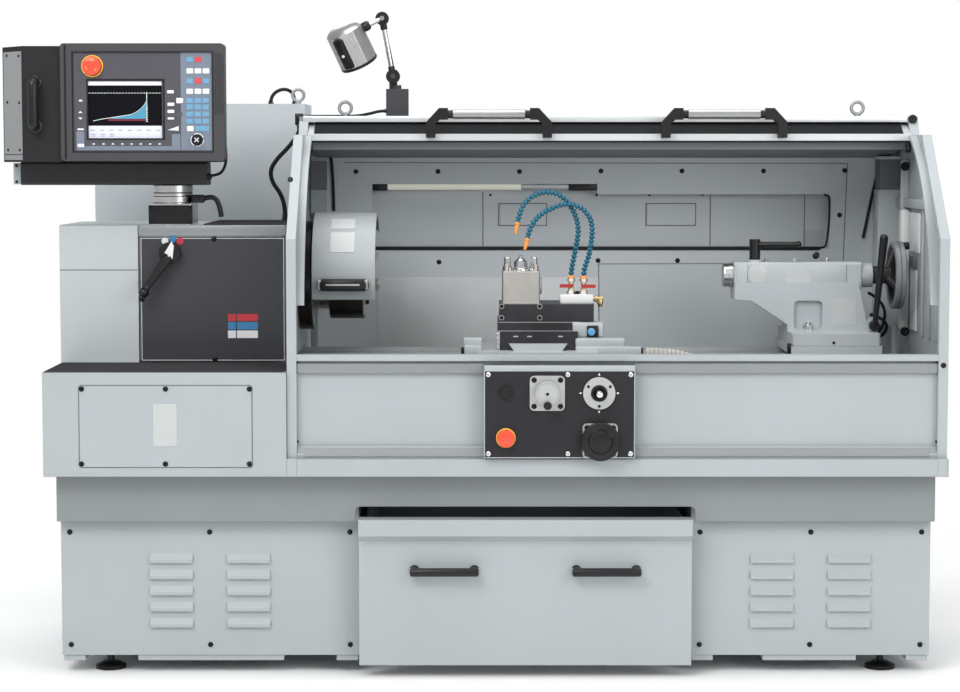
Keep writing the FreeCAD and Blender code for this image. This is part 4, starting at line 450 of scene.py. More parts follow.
# Geometry Nodes: the source mesh at every point, or along a line where a pitch is given
def placingTree(name, source, finishName, axis, pitch=0.0):
    group = bpy.data.node_groups.new(name + "Nodes", "GeometryNodeTree")
    sockets = group.interface
    sockets.new_socket("Geometry", in_out="INPUT", socket_type="NodeSocketGeometry")
    sockets.new_socket("Size", in_out="INPUT", socket_type="NodeSocketFloat").default_value = 1.0
    if pitch:
        sockets.new_socket("Pitch", in_out="INPUT", socket_type="NodeSocketFloat").default_value = pitch
    sockets.new_socket("Geometry", in_out="OUTPUT", socket_type="NodeSocketGeometry")
    start = group.nodes.new("NodeGroupInput")
    info = group.nodes.new("GeometryNodeObjectInfo")
    place = group.nodes.new("GeometryNodeInstanceOnPoints")
    realize = group.nodes.new("GeometryNodeRealizeInstances")
    paint = group.nodes.new("GeometryNodeSetMaterial")
    end = group.nodes.new("NodeGroupOutput")
    info.inputs["Object"].default_value = source
    paint.inputs["Material"].default_value = finishes[finishName]
    link = group.links.new
    if pitch:
        along = group.nodes.new("GeometryNodeCurveToPoints")
        along.mode = "LENGTH"
        link(start.outputs["Geometry"], along.inputs["Curve"])
        link(start.outputs["Pitch"], along.inputs["Length"])
        link(along.outputs["Points"], place.inputs["Points"])
        link(along.outputs["Rotation"], place.inputs["Rotation"])
    else:
        turn = Vector((0, 0, 1)).rotation_difference(Vector(axis).normalized()).to_euler()
        place.inputs["Rotation"].default_value = turn
        link(start.outputs["Geometry"], place.inputs["Points"])
    link(start.outputs["Size"], place.inputs["Scale"])
    link(info.outputs["Geometry"], place.inputs["Instance"])
    link(place.outputs["Instances"], realize.inputs[0])
    link(realize.outputs[0], paint.inputs["Geometry"])
    link(paint.outputs["Geometry"], end.inputs[0])
    return group


# The source mesh at every point, turned so that its Z axis lies along the given axis
def repeat(name, points, source, axis, finishName, body):
    data = bpy.data.meshes.new(name + "Points")
    data.from_pydata([Vector(point) * mm for point in points], [], [])
    holder = addObject(name + "Holder", data)
    holder.modifiers.new("place", "NODES").node_group = placingTree(name, source, finishName, axis)
    return settle(name, solved(name, holder), finishName, body)


# Points on a plane that faces the operator, from the photograph's pixels
def onFront(pixels, planeY):
    return [(x, planeY, z) for x, z in (onPlane(px, py, planeY) for px, py in pixels)]


# x0, x1, z0, z1 on a plane from the left, right, top and bottom pixels
def plateAt(pixels, planeY):
    left, right, top, bottom = pixels
    x0, z1 = onPlane(left, top, planeY)
    x1, z0 = onPlane(right, bottom, planeY)
    return x0, x1, z0, z1


def buttonScrew():
    addRevolve((0, 0, 0), (0, 0, 1), [(0, 7.5), (1.5, 7.5), (3.2, 6.4), (4.4, 4.4), (4.6, 3.2)], 20, False)
    addRevolve((0, 0, 0), (0, 0, 1), [(4.6, 3.2), (2.2, 3.2)], 6, False)
    addRevolve((0, 0, 2.2), (0, 0, 1), [(0, 3.2), (0.2, 0.4)], 6, True)


def capScrew():
    addRevolve((0, 0, 0), (0, 0, 1), [(0, 9), (1.4, 9), (1.4, 6.5), (8, 6.5), (9, 5.6), (9, 3.2)], 24,
        False)
    addRevolve((0, 0, 4), (0, 0, 1), [(0, 3.2), (5, 3.2)], 6, True)


def knobScrew():
    addRevolve((0, 0, 0), (0, 0, 1), [(0, 13), (7, 13), (9, 11.5), (9, 5)], 28, False)
    addRevolve((0, 0, 5), (0, 0, 1), [(0, 5), (3, 4.6)], 6, True)


def dotScrew():
    addRevolve((0, 0, 0), (0, 0, 1), [(0, 4.0), (1.2, 4.0), (2.2, 2.8), (2.2, 1.6), (1.2, 1.6)], 16, True)


screwShapes = {"button": stored("buttonScrewShape", buttonScrew), "cap": stored("capScrewShape", capScrew),
    "knob": stored("knobScrewShape", knobScrew), "dot": stored("dotScrewShape", dotScrew), }
forward = (0, -1, 0)


def screws(name, spots, kind="button", body="frame", axis=forward, look="screwBlack"):
    repeat(name, spots, screwShapes[kind], axis, look, body)


print("helpers ready")


def frontOf(node):
    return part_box(node)[0][1] / mm


# Pedestals and feed box

baseScrews = {"left": (-1132, -738, -343), "right": (644, 956, 1268), "rows": (80, 401), "front": -485}
spots = [(x, baseScrews["front"], z) for x in baseScrews["left"] + baseScrews["right"]
    for z in baseScrews["rows"]]
screws("pedestalScrews", spots)

feedPanel = {"front": -585, "sheet": (79, 252, 386, 467), "plate": (153, 177, 404, 446),
    "screws": (81.5, 165.5, 249.5), "rows": (389, 464)}
sheet = plateAt(feedPanel["sheet"], feedPanel["front"])
addPlate((sheet[0] - 3, sheet[1] + 3, sheet[2] - 3, sheet[3] + 3), (-584, -585.4), 9)
piece("feedPanelGroove", "groove", "frame")
addPlate(sheet, (-585, -587), 8)
piece("feedPanelSheet", "paint", "frame")
addPlate(plateAt(feedPanel["plate"], -587), (-586, -588), 4)
piece("feedPanelPlate", "barePlate", "frame")
spots = onFront([(px, py) for px in feedPanel["screws"] for py in feedPanel["rows"]], -587)
screws("feedPanelScrews", spots)

shelfMat = {"x": (-1183, -516), "y": (-582, -288), "z": (860.5, 863.5), "ribs": 18}
addSpan(shelfMat, 1.2)
for number in range(shelfMat["ribs"]):
    y = shelfMat["y"][0] + 10 + number * (shelfMat["y"][1] - shelfMat["y"][0] - 20) / (shelfMat["ribs"] - 1)
    addBox((shelfMat["x"][0] + 6, y - 2, 863), (shelfMat["x"][1] - 6, y + 2, 864.6), 0.6)
piece("shelfMat", "mat", "frame")
print("base pieces")


# Headstock

lid = {"x": (-958, -535), "y": (-285, -279), "z": (1228, 1257)}
addSpan(lid, 2)
piece("headstockLidStrip", "lidPaint", "frame")

topMat = {"x": (-772, -537), "y": (-276, 112), "z": (1258.5, 1263)}
addSpan(topMat, 1.5)
for number in range(9):
    y = topMat["y"][0] + 20 + number * 43
    addBox((topMat["x"][0] + 8, y - 3, 1262.5), (topMat["x"][1] - 8, y + 3, 1264.4), 0.8)
piece("headstockTopMat", "mat", "frame")

faceLine = {"corners": (-952, -540, 869, 1222), "width": 1.8}
addFrame(faceLine["corners"], (-282.5, -283.5), faceLine["width"])
piece("faceOutline", "line", "frame")

marks = {"legendWhite": (165, 241), "legendBlue": (173, 239), "legendRed": (180, 241)}
for finishName, pixel in marks.items():
    x, y, z = onFront([pixel], -283)[0]
    addRevolve((x, -282.5, z), forward, [(0, 10), (1.0, 10), (1.4, 9.4)], 28)
    piece("range" + finishName, finishName, "frame")

legend = {"columns": ((228, 236), (237, 258)), "rows": ((314, 321), (322, 329.5), (330.5, 338)),
    "finishes": ("legendRed", "legendBlue", "legendWhite")}
for finishName, row in zip(legend["finishes"], legend["rows"]):
    for column in legend["columns"]:
        addPlate(plateAt((*column, *row), -283), (-282.5, -284), 1.5)
    piece("legendRow" + finishName, finishName, "frame")

screws("faceScrews", onFront([(214, 239), (142, 299), (215, 359)], -283))

lever = {"hub": (-866, -313, 1180), "arrow": ((-3, -12), (2, -8), (9, -18), (13, 20), (7, 34), (-14, 0),
    (-6, -3))}
hubX, hubY, hubZ = lever["hub"]
rear, face = [addRing((hubX + x, hubY + y, hubZ + z) for x, z in lever["arrow"]) for y in (0.4, -0.8)]
joinRings([rear, face], False)
mesh.faces.new(face)
piece("gearLeverArrow", "legendWhite", "gear_lever")
addRevolve((-938, -332, 1068), (0, 0, 1), [(-15.4, 1), (-14.6, 5), (-11, 10.9), (-6, 14.2), (0, 15.5),
    (6, 14.2), (11, 10.9), (14.6, 5), (15.4, 1)], 32)
piece("gearLeverBall", "blackPlastic", "gear_lever")
top, end = Vector((-868, -317, 1168)), Vector((-936, -331, 1074))
along = (end - top).normalized()
side = along.cross(Vector(forward)).normalized()
out = side.cross(along).normalized()
rings = []
for share, half, thick in ((0.0, 13, 6), (0.1, 13.5, 7), (0.85, 10, 6.5), (1.0, 9, 6)):
    spot = top + (end - top) * share
    section = ((-1, -0.6), (-1, 0.6), (-0.7, 1), (0.7, 1), (1, 0.6), (1, -0.6), (0.7, -1), (-0.7, -1))
    rings.append(addRing(spot + side * half * x + out * thick * y for x, y in section))
joinRings(rings)
piece("gearLeverArm", "blackPlastic", "gear_lever")

noseDisc = {"base": (-506, -85, 1106), "rings": [(0, 156), (3, 160), (37, 160), (41, 156), (41, 60)]}
addRevolve(noseDisc["base"], (1, 0, 0), noseDisc["rings"], 96, False)
piece("noseDisc", "nose", "frame")

coverFront = frontOf("gear_cover")
seamZ = onPlane(60, 270, coverFront)[1]
addBox((-1186, coverFront - 0.6, seamZ - 1.5), (-962, coverFront + 1, seamZ + 1.5), 0.3)
addBox((-1186.4, coverFront, seamZ - 1.5), (-1185, 110, seamZ + 1.5), 0.3)
piece("gearCoverSeam", "groove", "frame")
print("headstock pieces")


# Back guard: work light, window strip, plates and screws

wall = {"front": 295, "recess": 348}
wallScrews = [(356, 171.5), (438, 171.5), (519.5, 171.5), (601, 171), (682, 171), (763.5, 171),
    (844.5, 170.5), (839.5, 215), (439, 262), (598, 260.5), (677.5, 260.5)]
screws("wallScrews", onFront(wallScrews, wall["front"]))

worklight = {"y": 311, "py": 186.5, "radius": 10.5, "tube": (387, 521), "holder": (521, 570),
    "caps": ((372, 388), (568, 597))}
lightZ = onPlane(480, worklight["py"], worklight["y"])[1]


def lightSpan(span):
    return [onPlane(px, worklight["py"], worklight["y"])[0] for px in span]


x0, x1 = lightSpan(worklight["tube"])
addRevolve((x0, worklight["y"], lightZ), (1, 0, 0), [(0, 10.5), (x1 - x0, 10.5)], 28)
piece("workLightTube", "tube", "frame")
x0, x1 = lightSpan(worklight["holder"])
addRevolve((x0, worklight["y"], lightZ), (1, 0, 0),
    [(0, 10.8), (3, 11.2), (x1 - x0 - 3, 11.2), (x1 - x0, 10.8)], 28)
addBox((x0 + 12, 318, lightZ - 6), (x1 - 12, 348.5, lightZ + 6), 2)
piece("workLightHolder", "rail", "frame")
for span in worklight["caps"]:
    x0, x1 = lightSpan(span)
    addBox((x0, 297, lightZ - 13), (x1, 348, lightZ + 12), 6)
piece("workLightCaps", "blackPlastic", "frame")

stripZ = onPlane(600, 248, wall["front"])[1]
x0, x1 = onPlane(373, 248, wall["front"])[0], onPlane(820, 248, wall["front"])[0]
addBox((x0, 288, stripZ - 6), (x1, 300, stripZ + 5), 3)
piece("windowStrip", "rubber", "frame")
sweep("windowSeal", onFront([(817, 248), (824, 247.6), (826.6, 244), (829.2, 222), (829.6, 200), (829, 196),
    (824, 194.6)], 294), 3.2, "rubber", "frame")
seamPaths = {"upper": ((345, 162.5), (846.5, 163.5)), "side": ((847.5, 163), (843, 262)),
    "lower": ((598, 264), (737, 263.5)), "lowerSide": ((598.5, 264), (599.5, 355)),
    "inner": ((860, 264), (860, 345))}
for (ax, ay), (bx, by) in seamPaths.values():
    (sx, _, sz), (ex, _, ez) = onFront([(ax, ay), (bx, by)], 294.2)
    along = Vector((ex - sx, ez - sz)).normalized()
    side = Vector((-along.y, along.x)) * 1.3
    ring = [(sx + side.x, sz + side.y), (ex + side.x, ez + side.y), (ex - side.x, ez - side.y),
        (sx - side.x, sz - side.y)]
    addFace((x, 294.2, z) for x, z in ring)
piece("wallSeams", "groove", "frame", False)

for px in (483, 710, 804):
    x, z0 = onPlane(px, 246, wall["recess"])
    z1 = onPlane(px, 192, wall["recess"])[1]
    addBox((x - 1.5, wall["recess"] - 1.4, z0), (x + 1.5, wall["recess"] + 0.5, z1), 0.4)
piece("windowSeams", "groove", "frame")
for pixels in ((500, 546, 204, 225), (647, 695, 204, 225)):
    addPlate(plateAt(pixels, wall["recess"]), (348.5, 345.5), 5)
piece("recessPlates", "wallPaintLitShaded", "frame")
# Painted shade: dark frames where shade falls at the raised plates' edges
for pixels in ((498, 547, 203, 226), (645.5, 696, 203, 226)):
    addFrame(plateAt(pixels, wall["recess"]), (348.6, 347.4), 3.4)
piece("recessBorders", "groove", "frame")
screws("recessScrews", onFront([(490.4, 195), (596.5, 195), (649.5, 195), (702.5, 194.5)], 347.4), "dot")
addPlate(plateAt((803, 823, 230, 245), wall["recess"]), (348.5, 347), 3)
piece("recessBarePlate", "barePlate", "frame")

cornerSeams = (((328, 142), (333, 157), (334, 211)), ((884, 147), (876, 175), (863, 238)))
for number, pixels in enumerate(cornerSeams):
    sweep("cornerSeal%d" % (number + 1), onFront(pixels, 290), 4.5, "rubber", "frame")

# The light rows are the column's lit faces; the dark row is painted shade for its shaded middle face
columns = {"left": (310.8, 327), "y": 285, "light": ((142, 161), (190, 213)), "dark": (161, 190)}
for rows in columns["light"]:
    addPlate(plateAt((*columns["left"], *rows), columns["y"]), (294, columns["y"]), 1)
piece("columnLeft", "paint", "frame")
addPlate(plateAt((*columns["left"], *columns["dark"]), columns["y"]), (294, columns["y"] + 1), 1)
piece("columnLeftPanel", "groove", "frame")
tray = plateAt((378, 598, 277.5, 352), 293.4)
addPlate(tray, (295.5, 293.2), 2)
piece("wallTray", "trayPaint", "frame")
print("back guard pieces")


# Pendant: overlay, screen and keys

panelY = -480.0
overlay = {"box": (-1107, -720, 1470, 1744), "rightField": (180, 213), "rightTop": 52,
    "bottomField": (76, 213), "bottomTop": 144.5, "bottom": 151}
screen = {"frame": (86.2, 165.2, 78.8, 139.8), "glass": (88, 162.4, 81, 138.4), "y": -473.0}
outer = plateAt(screen["frame"], panelY)
x0, x1, z0, z1 = overlay["box"]
stopPlace = (-1053, -480, 1706)
stopSide = (stopPlace[0] - 29, stopPlace[0] + 29)
inner = (outer[0] + 2, outer[1] - 2, outer[2] + 2, outer[3] - 2)
for strip in ((x0, stopSide[0], z0, z1), (stopSide[0], inner[0], z0, inner[3]), (inner[1], x1, z0, z1),
        (inner[0], inner[1], z0, inner[2]), (stopSide[1], inner[1], inner[3], z1)):
    addPlate(strip, (panelY + 0.5, panelY - 0.6))
addPunched((*stopSide, inner[3], z1), (panelY + 0.5, panelY - 0.6), (stopPlace[0], stopPlace[2]), 27.6)
piece("pendantOverlay", "overlay", "pendant")
right = plateAt((180.4, 212.2, 52.2, 150.4), panelY)
bottom = plateAt((172, 180.6, 134, 150.4), panelY)
foot = plateAt((76.5, 172.2, 146.2, 150.4), panelY)
left = plateAt((76.5, 84.5, 131.5, 146.4), panelY)
for corners in (right, bottom, foot, left):
    addPlate(corners, (panelY - 0.4, panelY - 1.0))
piece("pendantOverlayField", "overlayLight", "pendant")

glass = plateAt(screen["glass"], screen["y"])
addPlate((glass[0] - 3, glass[1] + 3, glass[2] - 3, glass[3] + 3), (-472.5, -474.0))
piece("screenBack", "screenBlack", "pendant")
addFrame(outer, (-473.5, -481.2), 4.5)
piece("screenBezel", "blackPlastic", "pendant")

x0, x1, z0, z1 = glass
addPlate((x0, x1, z1 - 12, z1), (-473.9, -474.6))
piece("screenTopBar", "screenWhite", "pendant")
addPlate((x0, x1, z0, z0 + 35), (-473.9, -474.6))
piece("screenFoot", "screenGrey", "pendant")
for number in range(8):
    x = x0 + 12 + number * (x1 - x0 - 24) / 7
    addPlate((x - 6, x + 6, z0 + 22, z0 + 23.4), (-474.5, -474.9))
for number in range(3):
    x = x0 + 14 + number * 26
    addPlate((x - 7, x + 7, z0 + 11, z0 + 12.2), (-474.5, -474.9))
    addPlate((x - 7, x + 5, z0 + 6, z0 + 7.2), (-474.5, -474.9))
piece("screenFootMarks", "overlay", "pendant")

curvePixels = [(93, 121), (102, 119), (112, 117.6), (122, 116), (131, 114.6), (136, 112.4), (140, 109.4),
    (143.6, 105.6), (146.2, 101.6)]
points = onFront(curvePixels, -474.9)
for (ax, _, az), (bx, _, bz) in zip(points, points[1:]):
    ring = ((ax, az - 0.7), (bx, bz - 0.7), (bx, bz + 0.7), (ax, az + 0.7))
    addFace((px, -474.9, pz) for px, pz in ring)
dash = plateAt((88.5, 161.5, 92.6, 93.1), -474.9)
for number in range(24):
    step = (dash[1] - dash[0]) / 24
    addPlate((dash[0] + number * step, dash[0] + (number + 0.66) * step, dash[2] - 0.6, dash[2] + 0.8),
        (-474.3, -474.9))
axisX, axisTop = onPlane(146.6, 92, -474.9)
axisFoot = onPlane(146.6, 121.5, -474.9)[1]
addPlate((axisX - 0.7, axisX + 0.7, axisFoot, axisTop), (-474.3, -474.9))
for number in range(8):
    z = axisFoot + number * (axisTop - axisFoot) * 0.075
    addPlate((axisX - 2.6, axisX + 2.6, z - 0.6, z + 0.6), (-474.3, -474.9))
piece("screenGraph", "screenLine", "pendant", False)
fan = onFront([(116, 117.2), (131, 115.2), (136, 113), (140, 110), (143.6, 106.2), (146, 102.4),
    (146, 118.8), (110, 118.8)], -474.7)
addFace(fan)
piece("screenFill", "screenBlue", "pendant", False)
addPlate(plateAt((108, 146, 118.9, 121), -474.6), (-474.0, -474.6))
piece("screenRedBand", "screenRed", "pendant")


def keyShape(place, size, rise=2.4):
    (px, py), (width, height) = place, size
    x, z = onPlane(px, py, panelY)
    front = panelY - rise
    addPlate((x - width / 2, x + width / 2, z - height / 2, z + height / 2), (panelY + 0.3, front + 0.7),
        2.2)
    addPlate((x - width / 2 + 1, x + width / 2 - 1, z - height / 2 + 1, z + height / 2 - 1),
        (front + 0.8, front), 1.8)


keySize = (18.5, 14.5)
keyColumns = (189.8, 198.0, 206.0)
keyRows = {"keyWhite": [(px, py) for py in (70.9, 91.3) for px in keyColumns] + [(190.4, 128.6)],
    "keyRed": [(198.0, 59.5), (198.0, 80.9)], "keyBlue": [(189.8, 59.5), (189.8, 80.9),
    (206.0, 80.9)] + [(px, py) for py in (100.5, 107.0, 114.1, 121.1) for px in keyColumns], }
for finishName, places in keyRows.items():
    for place in places:
        keyShape(place, keySize)
    if finishName == "keyBlue":
        keyShape((202.2, 128.6), (40, 14.5))
    piece("keys" + finishName, finishName, "pendant")

for place, size in (((170.5, 91.8), (19, 9)), ((170.9, 104.3), (19, 9)), ((170.9, 111.4), (19, 9)),
        ((170.9, 118.4), (18, 6)), ((179.9, 100.6), (20, 15)), ((80.9, 145.4), (20, 11)),
        ((80.7, 129.3), (18, 5)), ((80.7, 100.6), (10, 5))):
    keyShape(place, size, 1.6)
for number, px in enumerate((93.8, 103.6, 113.0, 122.5, 131.7, 140.8, 150.3, 159.7)):
    x, z = onPlane(px, 144.2, panelY)
    addPlate((x - 3, x + 3, z - 1, z + 2.5), (panelY, panelY - 1.4), 1)
piece("keysPlain", "keyWhite", "pendant")
for px in (93.8, 103.6, 113.0, 122.5, 131.7, 140.8, 150.3, 159.7):
    keyShape((px, 145.2), (20, 11), 0.9)
keyShape((179.9, 114.4), (15, 13), 1.6)
piece("keysDark", "keyDark", "pendant")
for px, py, up in ((80.4, 111.9, 1), (80.4, 118.6, -1)):
    x, z = onPlane(px, py, panelY)
    corners = [(x - 6, z - 3 * up), (x + 6, z - 3 * up), (x, z + 3 * up)]
    addFace((cx, panelY - 0.9, cz) for cx, cz in corners)
x, z = onPlane(173.7, 128.6, panelY)
wedge = [(x - 17, z - 4), (x + 14, z - 6), (x + 14, z + 7)]
addFace((cx, panelY - 0.9, cz) for cx, cz in wedge)
piece("keyTriangles", "keyWhite", "pendant", False)

dialPlace = (-763, 1502)
for number in range(3):
    start = math.radians(20 + number * 120)
    arc = [start + math.radians(step * 12.5) for step in range(9)]
    outer = [mesh.verts.new((dialPlace[0] + 19 * math.cos(a), panelY - 1.3,
        dialPlace[1] + 19 * math.sin(a))) for a in arc]
    inner = [mesh.verts.new((dialPlace[0] + 16.2 * math.cos(a), panelY - 1.3,
        dialPlace[1] + 16.2 * math.sin(a))) for a in arc]
    for number2 in range(len(arc) - 1):
        mesh.faces.new((inner[number2], outer[number2], outer[number2 + 1], inner[number2 + 1]))
piece("overrideRing", "keyWhite", "pendant", False)
for degrees in (45, 135):
    addBox((dialPlace[0] - 8, -498.9, dialPlace[1] - 1.4), (dialPlace[0] + 8, -497.0, dialPlace[1] + 1.4),
        0.4, Matrix.Rotation(math.radians(degrees), 3, "Y"))
piece("overrideMark", "keyWhite", "override_dial")
for number in range(18):
    angle = number * 2 * math.pi / 18
    x, z = dialPlace[0] + 14.6 * math.cos(angle), dialPlace[1] + 14.6 * math.sin(angle)
    addRevolve((x, -480.8, z), forward, [(0, 1.5), (4.6, 1.5), (5.2, 0.8)], 8)
piece("overrideKnurl", "blackPlastic", "override_dial")

addRevolve(stopPlace, forward, [(0, 30.5), (3.6, 30.5), (4.8, 29.4), (4.8, 27.4), (0.5, 27.4)], 48, False)
piece("pendantStopCollar", "yellow", "pendant")
addRevolve((-1053, -485.6, 1706), forward, [(0, 22), (0.6, 26), (7, 26.4), (11, 25), (13.6, 21.5),
    (14.4, 16), (14.6, 8), (14.6, 2)], 48)
piece("pendantStopCap", "red", "pendant_stop")
for degrees in (60, 180, 300):
    arc = [math.radians(degrees + step * 6) for step in range(8)]
    outer = [mesh.verts.new((-1053 + 17 * math.cos(a), -500.5, 1706 + 17 * math.sin(a))) for a in arc]
    inner = [mesh.verts.new((-1053 + 14.4 * math.cos(a), -500.5, 1706 + 14.4 * math.sin(a))) for a in arc]
    for number in range(len(arc) - 1):
        mesh.faces.new((inner[number], outer[number], outer[number + 1], inner[number + 1]))
    piece("pendantStopArrow%d" % degrees, "orange", "pendant_stop", False)

for px in (214.4, 216.4, 218.4, 220.4, 222.4):
    x, z1 = onPlane(px, 53, -485)
    z0 = onPlane(px, 114, -485)[1]
    addPlate((x - 1.6, x + 1.6, z0, z1), (-484, -486.6), 1.5)
piece("bezelRibs", "bezel", "pendant")
addPlate((-1131, -1126, 1448, 1764), (-470, -486.2), 1)
addFrame((-1110, -717, 1467, 1747), (-484.5, -485.8), 3)
piece("bezelGroove", "blackPlastic", "pendant")


# Pendant case: side plate, handle, arm cover and clamp

splay = {"from": Vector((-1248, -473)), "to": Vector((-1322, -378)), "z": (1446, 1756), "top": 1740}
along = (splay["to"] - splay["from"]).normalized()
outward = Vector((along.y, -along.x))
if outward.y > 0:
    outward = -outward
start = splay["from"] + along * 6
end = splay["to"] - along * 6
for low, high, near, far in ((1462, 1748, 0.0, 0.8), (1446, 1460, 0.0, 0.7)):
    ring = [point + outward * offset for point, offset in ((start, near), (end, near), (end, far),
        (start, far))]
    joinRings([addRing((spot.x, spot.y, z) for spot in ring) for z in (low, high)])
piece("caseSidePlate", "lidPaint", "pendant")
spots = []
for share, z in ((0.14, 1735), (0.80, 1738), (0.14, 1605), (0.80, 1608), (0.14, 1474), (0.80, 1474)):
    spot = start + (end - start) * share + outward * 0.7
    spots.append((spot.x, spot.y, z))
screws("caseSideScrews", spots, "dot", "pendant", axis=(outward.x, outward.y, 0))

grip = {"x": -1214, "y": -509, "z": (1540, 1662)}
for side in grip["z"]:
    addRevolve((grip["x"], -472, side), forward, [(0, 19), (4, 19), (7, 14), (30, 12.5), (38, 12)], 28)
addRevolve((grip["x"], grip["y"], grip["z"][0] - 8), (0, 0, 1),
    [(0, 8), (5, 13), (14, 15.5), (60, 13.5), (66, 13.3), (72, 13.5), (120, 15.5), (132, 13), (138, 8)], 32)
piece("caseHandle", "blackPlastic", "pendant")

armCap = {"x": (-1317.5, -1295), "y": (-268.5, -163), "z": (1376, 1436)}
addSpan(armCap, 1.5)
piece("armCap", "paint", "pendant_arm")
spots = [(-1308, -268.6, z) for z in (1383, 1429)]
screws("armCapScrews", spots, "dot", "pendant_arm")
addBox((-1120, -262, 1439.2), (-790, -168, 1442.2), 0.8)
piece("armTopStrip", "whiteMetal", "pendant_arm")

sweep("pendantCable", [(-712, -440, 1560), (-700, -440, 1545), (-693, -420, 1500), (-694, -360, 1446),
    (-712, -300, 1412), (-735, -268, 1402), (-764, -256, 1398)], 4.2, "rubber", "pendant")
addRevolve((-748, -258, 1398), (-1, 0, 0), [(0, 6), (3, 9), (16, 9)], 6)
piece("pendantCableGland", "blackPlastic", "pendant_arm")

clamp = {"place": (-866, -215), "z": (1335, 1357)}
ring = [(0, 59), (2, 61), (18, 61), (20, 59)]
addRevolve((clamp["place"][0], clamp["place"][1], 1322), (0, 0, 1), ring, 48)
piece("swivelCollar", "steel", "frame")
addRevolve((*clamp["place"], 1352), (0, 0, 1), [(0, 56.4), (1, 57.4), (20, 57.4), (21, 56.4)], 48, False)
piece("swivelSleeve", "steel", "pendant_arm")
addBox((-808, -262, 1322), (-772, -226, 1346), 4)
piece("swivelClampBlock", "blackPlastic", "frame")
sweep("swivelClampLever", [(-778, -248, 1334), (-756, -250, 1340), (-738, -252, 1336), (-728, -253, 1315),
    (-724, -254, 1296), (-722, -254, 1282)], 7.5, "blackPlastic", "frame")
addBox((-929, -279.5, 1262), (-803, -274, 1316), 2)
piece("postCover", "darkCase", "frame")
screws("postCoverScrews", [(x, -279.6, z) for x in (-921, -811) for z in (1268, 1310)], "dot")
print("pendant pieces")


# Band of a shell about an X axis, on the operator's side: degrees above the level line
def addArcPlate(centre, radii, degrees, span, steps=14):
    rows = []
    for number in range(steps + 1):
        angle = math.radians(degrees[0] + (degrees[1] - degrees[0]) * number / steps)
        corners = ((radii[0], span[0]), (radii[1], span[0]), (radii[1], span[1]), (radii[0], span[1]))
        rows.append(addRing((x, centre[0] - radius * math.cos(angle), centre[1] + radius * math.sin(angle))
            for radius, x in corners))
    joinRings(rows)


def addTorus(centre, axis, big, small, around=72, sides=14):
    turn = Matrix.Translation(Vector(centre)) @ rotationTo(axis)
    rings = []
    for number in range(around):
        angle = 2 * math.pi * number / around
        ring = []
        for step in range(sides):
            tilt = 2 * math.pi * step / sides
            flat = big + small * math.cos(tilt)
            ring.append(turn @ Vector((flat * math.cos(angle), flat * math.sin(angle),
                small * math.sin(tilt))))
        rings.append(addRing(ring))
    joinRings(rings, False, True)


# Hood

hood = {"bars": ((-70, 170), (618, 858)), "barY": -135, "barZ": 1579}
for x0, x1 in hood["bars"]:
    length = x1 - x0
    addRevolve((x0 + 14, hood["barY"], hood["barZ"]), (1, 0, 0),
        [(0, 12.4), (1, 14.6), (length - 29, 14.6), (length - 28, 12.4)], 36)
piece("hoodBarSleeves", "lampSilver", "hood")
hoodCover = {"x": (-464, 1268), "line": ((-108, 1524), (-39, 1557.5), (-36, 1552), (-105, 1518.5))}
joinRings([addRing((x, y, z) for y, z in hoodCover["line"]) for x in hoodCover["x"]])
piece("hoodCover", "coverBlack", "hood")
addBox((-480, -116, 1496.5), (1288, -100, 1502.2), 1.5)
piece("hoodGasket", "rubber", "hood")
addBox((-533, 66, 1549), (-509, 124, 1585), 3)
addBox((-527, 60, 1536), (-513, 96, 1552), 3)
piece("hoseBracketCover", "blackPlastic", "frame")
for x0 in (-482.5, 1276):
    addBox((x0, -114, 1466), (x0 + 15, -94, 1498), 3)
    addRevolve((x0 + 7, -112, 1474), forward, [(0, 7), (4, 7), (7, 4)], 16)
piece("hoodLatches", "blackPlastic", "hood")
screws("guardKnobs", [(-497.5, -573, 1393), (1305.5, -573, 880)])

roofEdge = {"x": (-500, 1316), "y": (-54, -50), "z": (1557, 1575)}
addSpan(roofEdge, 1.5)
piece("roofEdge", "rail", "frame")
for x0, x1 in ((-510.5, -484.5), (1292.5, 1318)):
    addPlate((x0, x1, 571.5, 622), (-583.5, -586.2), 1)
piece("guardFeet", "paint", "frame")

# Inside of the right end guard

sideWall = {"x": (1304, 1315.5), "posts": ((-215, -206, 1340), (-318, -306, 1300), (-433, -424, 1190))}
addBox((1291, 60, 935), (1315.5, 66, 1446), 1)
for y0, y1, top in sideWall["posts"]:
    addBox((1306, y0, 935), (1315.5, y1, top), 1.5)
barZ = onPlane(915, 203, 0)[1]
addBox((1300, -325, barZ - 14), (1315.5, 236, barZ + 14), 2)
piece("guardInnerFrame", "paint", "frame")
tubeTop = onPlane(905, 209, 30)[1]
addBox((1286, 22, 935), (1315.5, 58, tubeTop), 9)
addBox((1311, -150, 1172), (1315.5, 14, tubeTop - 8), 2)
addBox((1309, -110, 940), (1315.5, -20, 1120), 2)
piece("guardInnerCover", "whiteMetal", "frame")
addBox((1303, -96, 1128), (1315.5, -34, 1160), 2)
piece("guardInnerBlock", "groove", "frame")
columnRight = {"x": (1247, 1315.5), "y": (199, 292), "light": ((936, 1354), (1447, 1456)),
    "dark": (1354, 1447)}
for z0, z1 in columnRight["light"]:
    addBox((columnRight["x"][0], columnRight["y"][0], z0), (columnRight["x"][1], columnRight["y"][1], z1),
        1.5)
piece("columnRight", "innerPaintLightened", "frame")
# Painted shade: a dark box for the column's shaded middle face
z0, z1 = columnRight["dark"]
addBox((columnRight["x"][0] + 4, columnRight["y"][0] + 1, z0),
    (columnRight["x"][1], columnRight["y"][1], z1), 1)
piece("columnRightPanel", "groove", "frame")
screws("guardInnerKnobs", [(1303, 60, onPlane(904.9, 166.4, 60)[1]),
    (1302, 22, onPlane(903.3, 331.3, 22)[1]), (1303, -54, 1566)], "knob")
screws("guardInnerKnobLeft", [(-499, -60, onPlane(306, 168, -60)[1])], "knob")
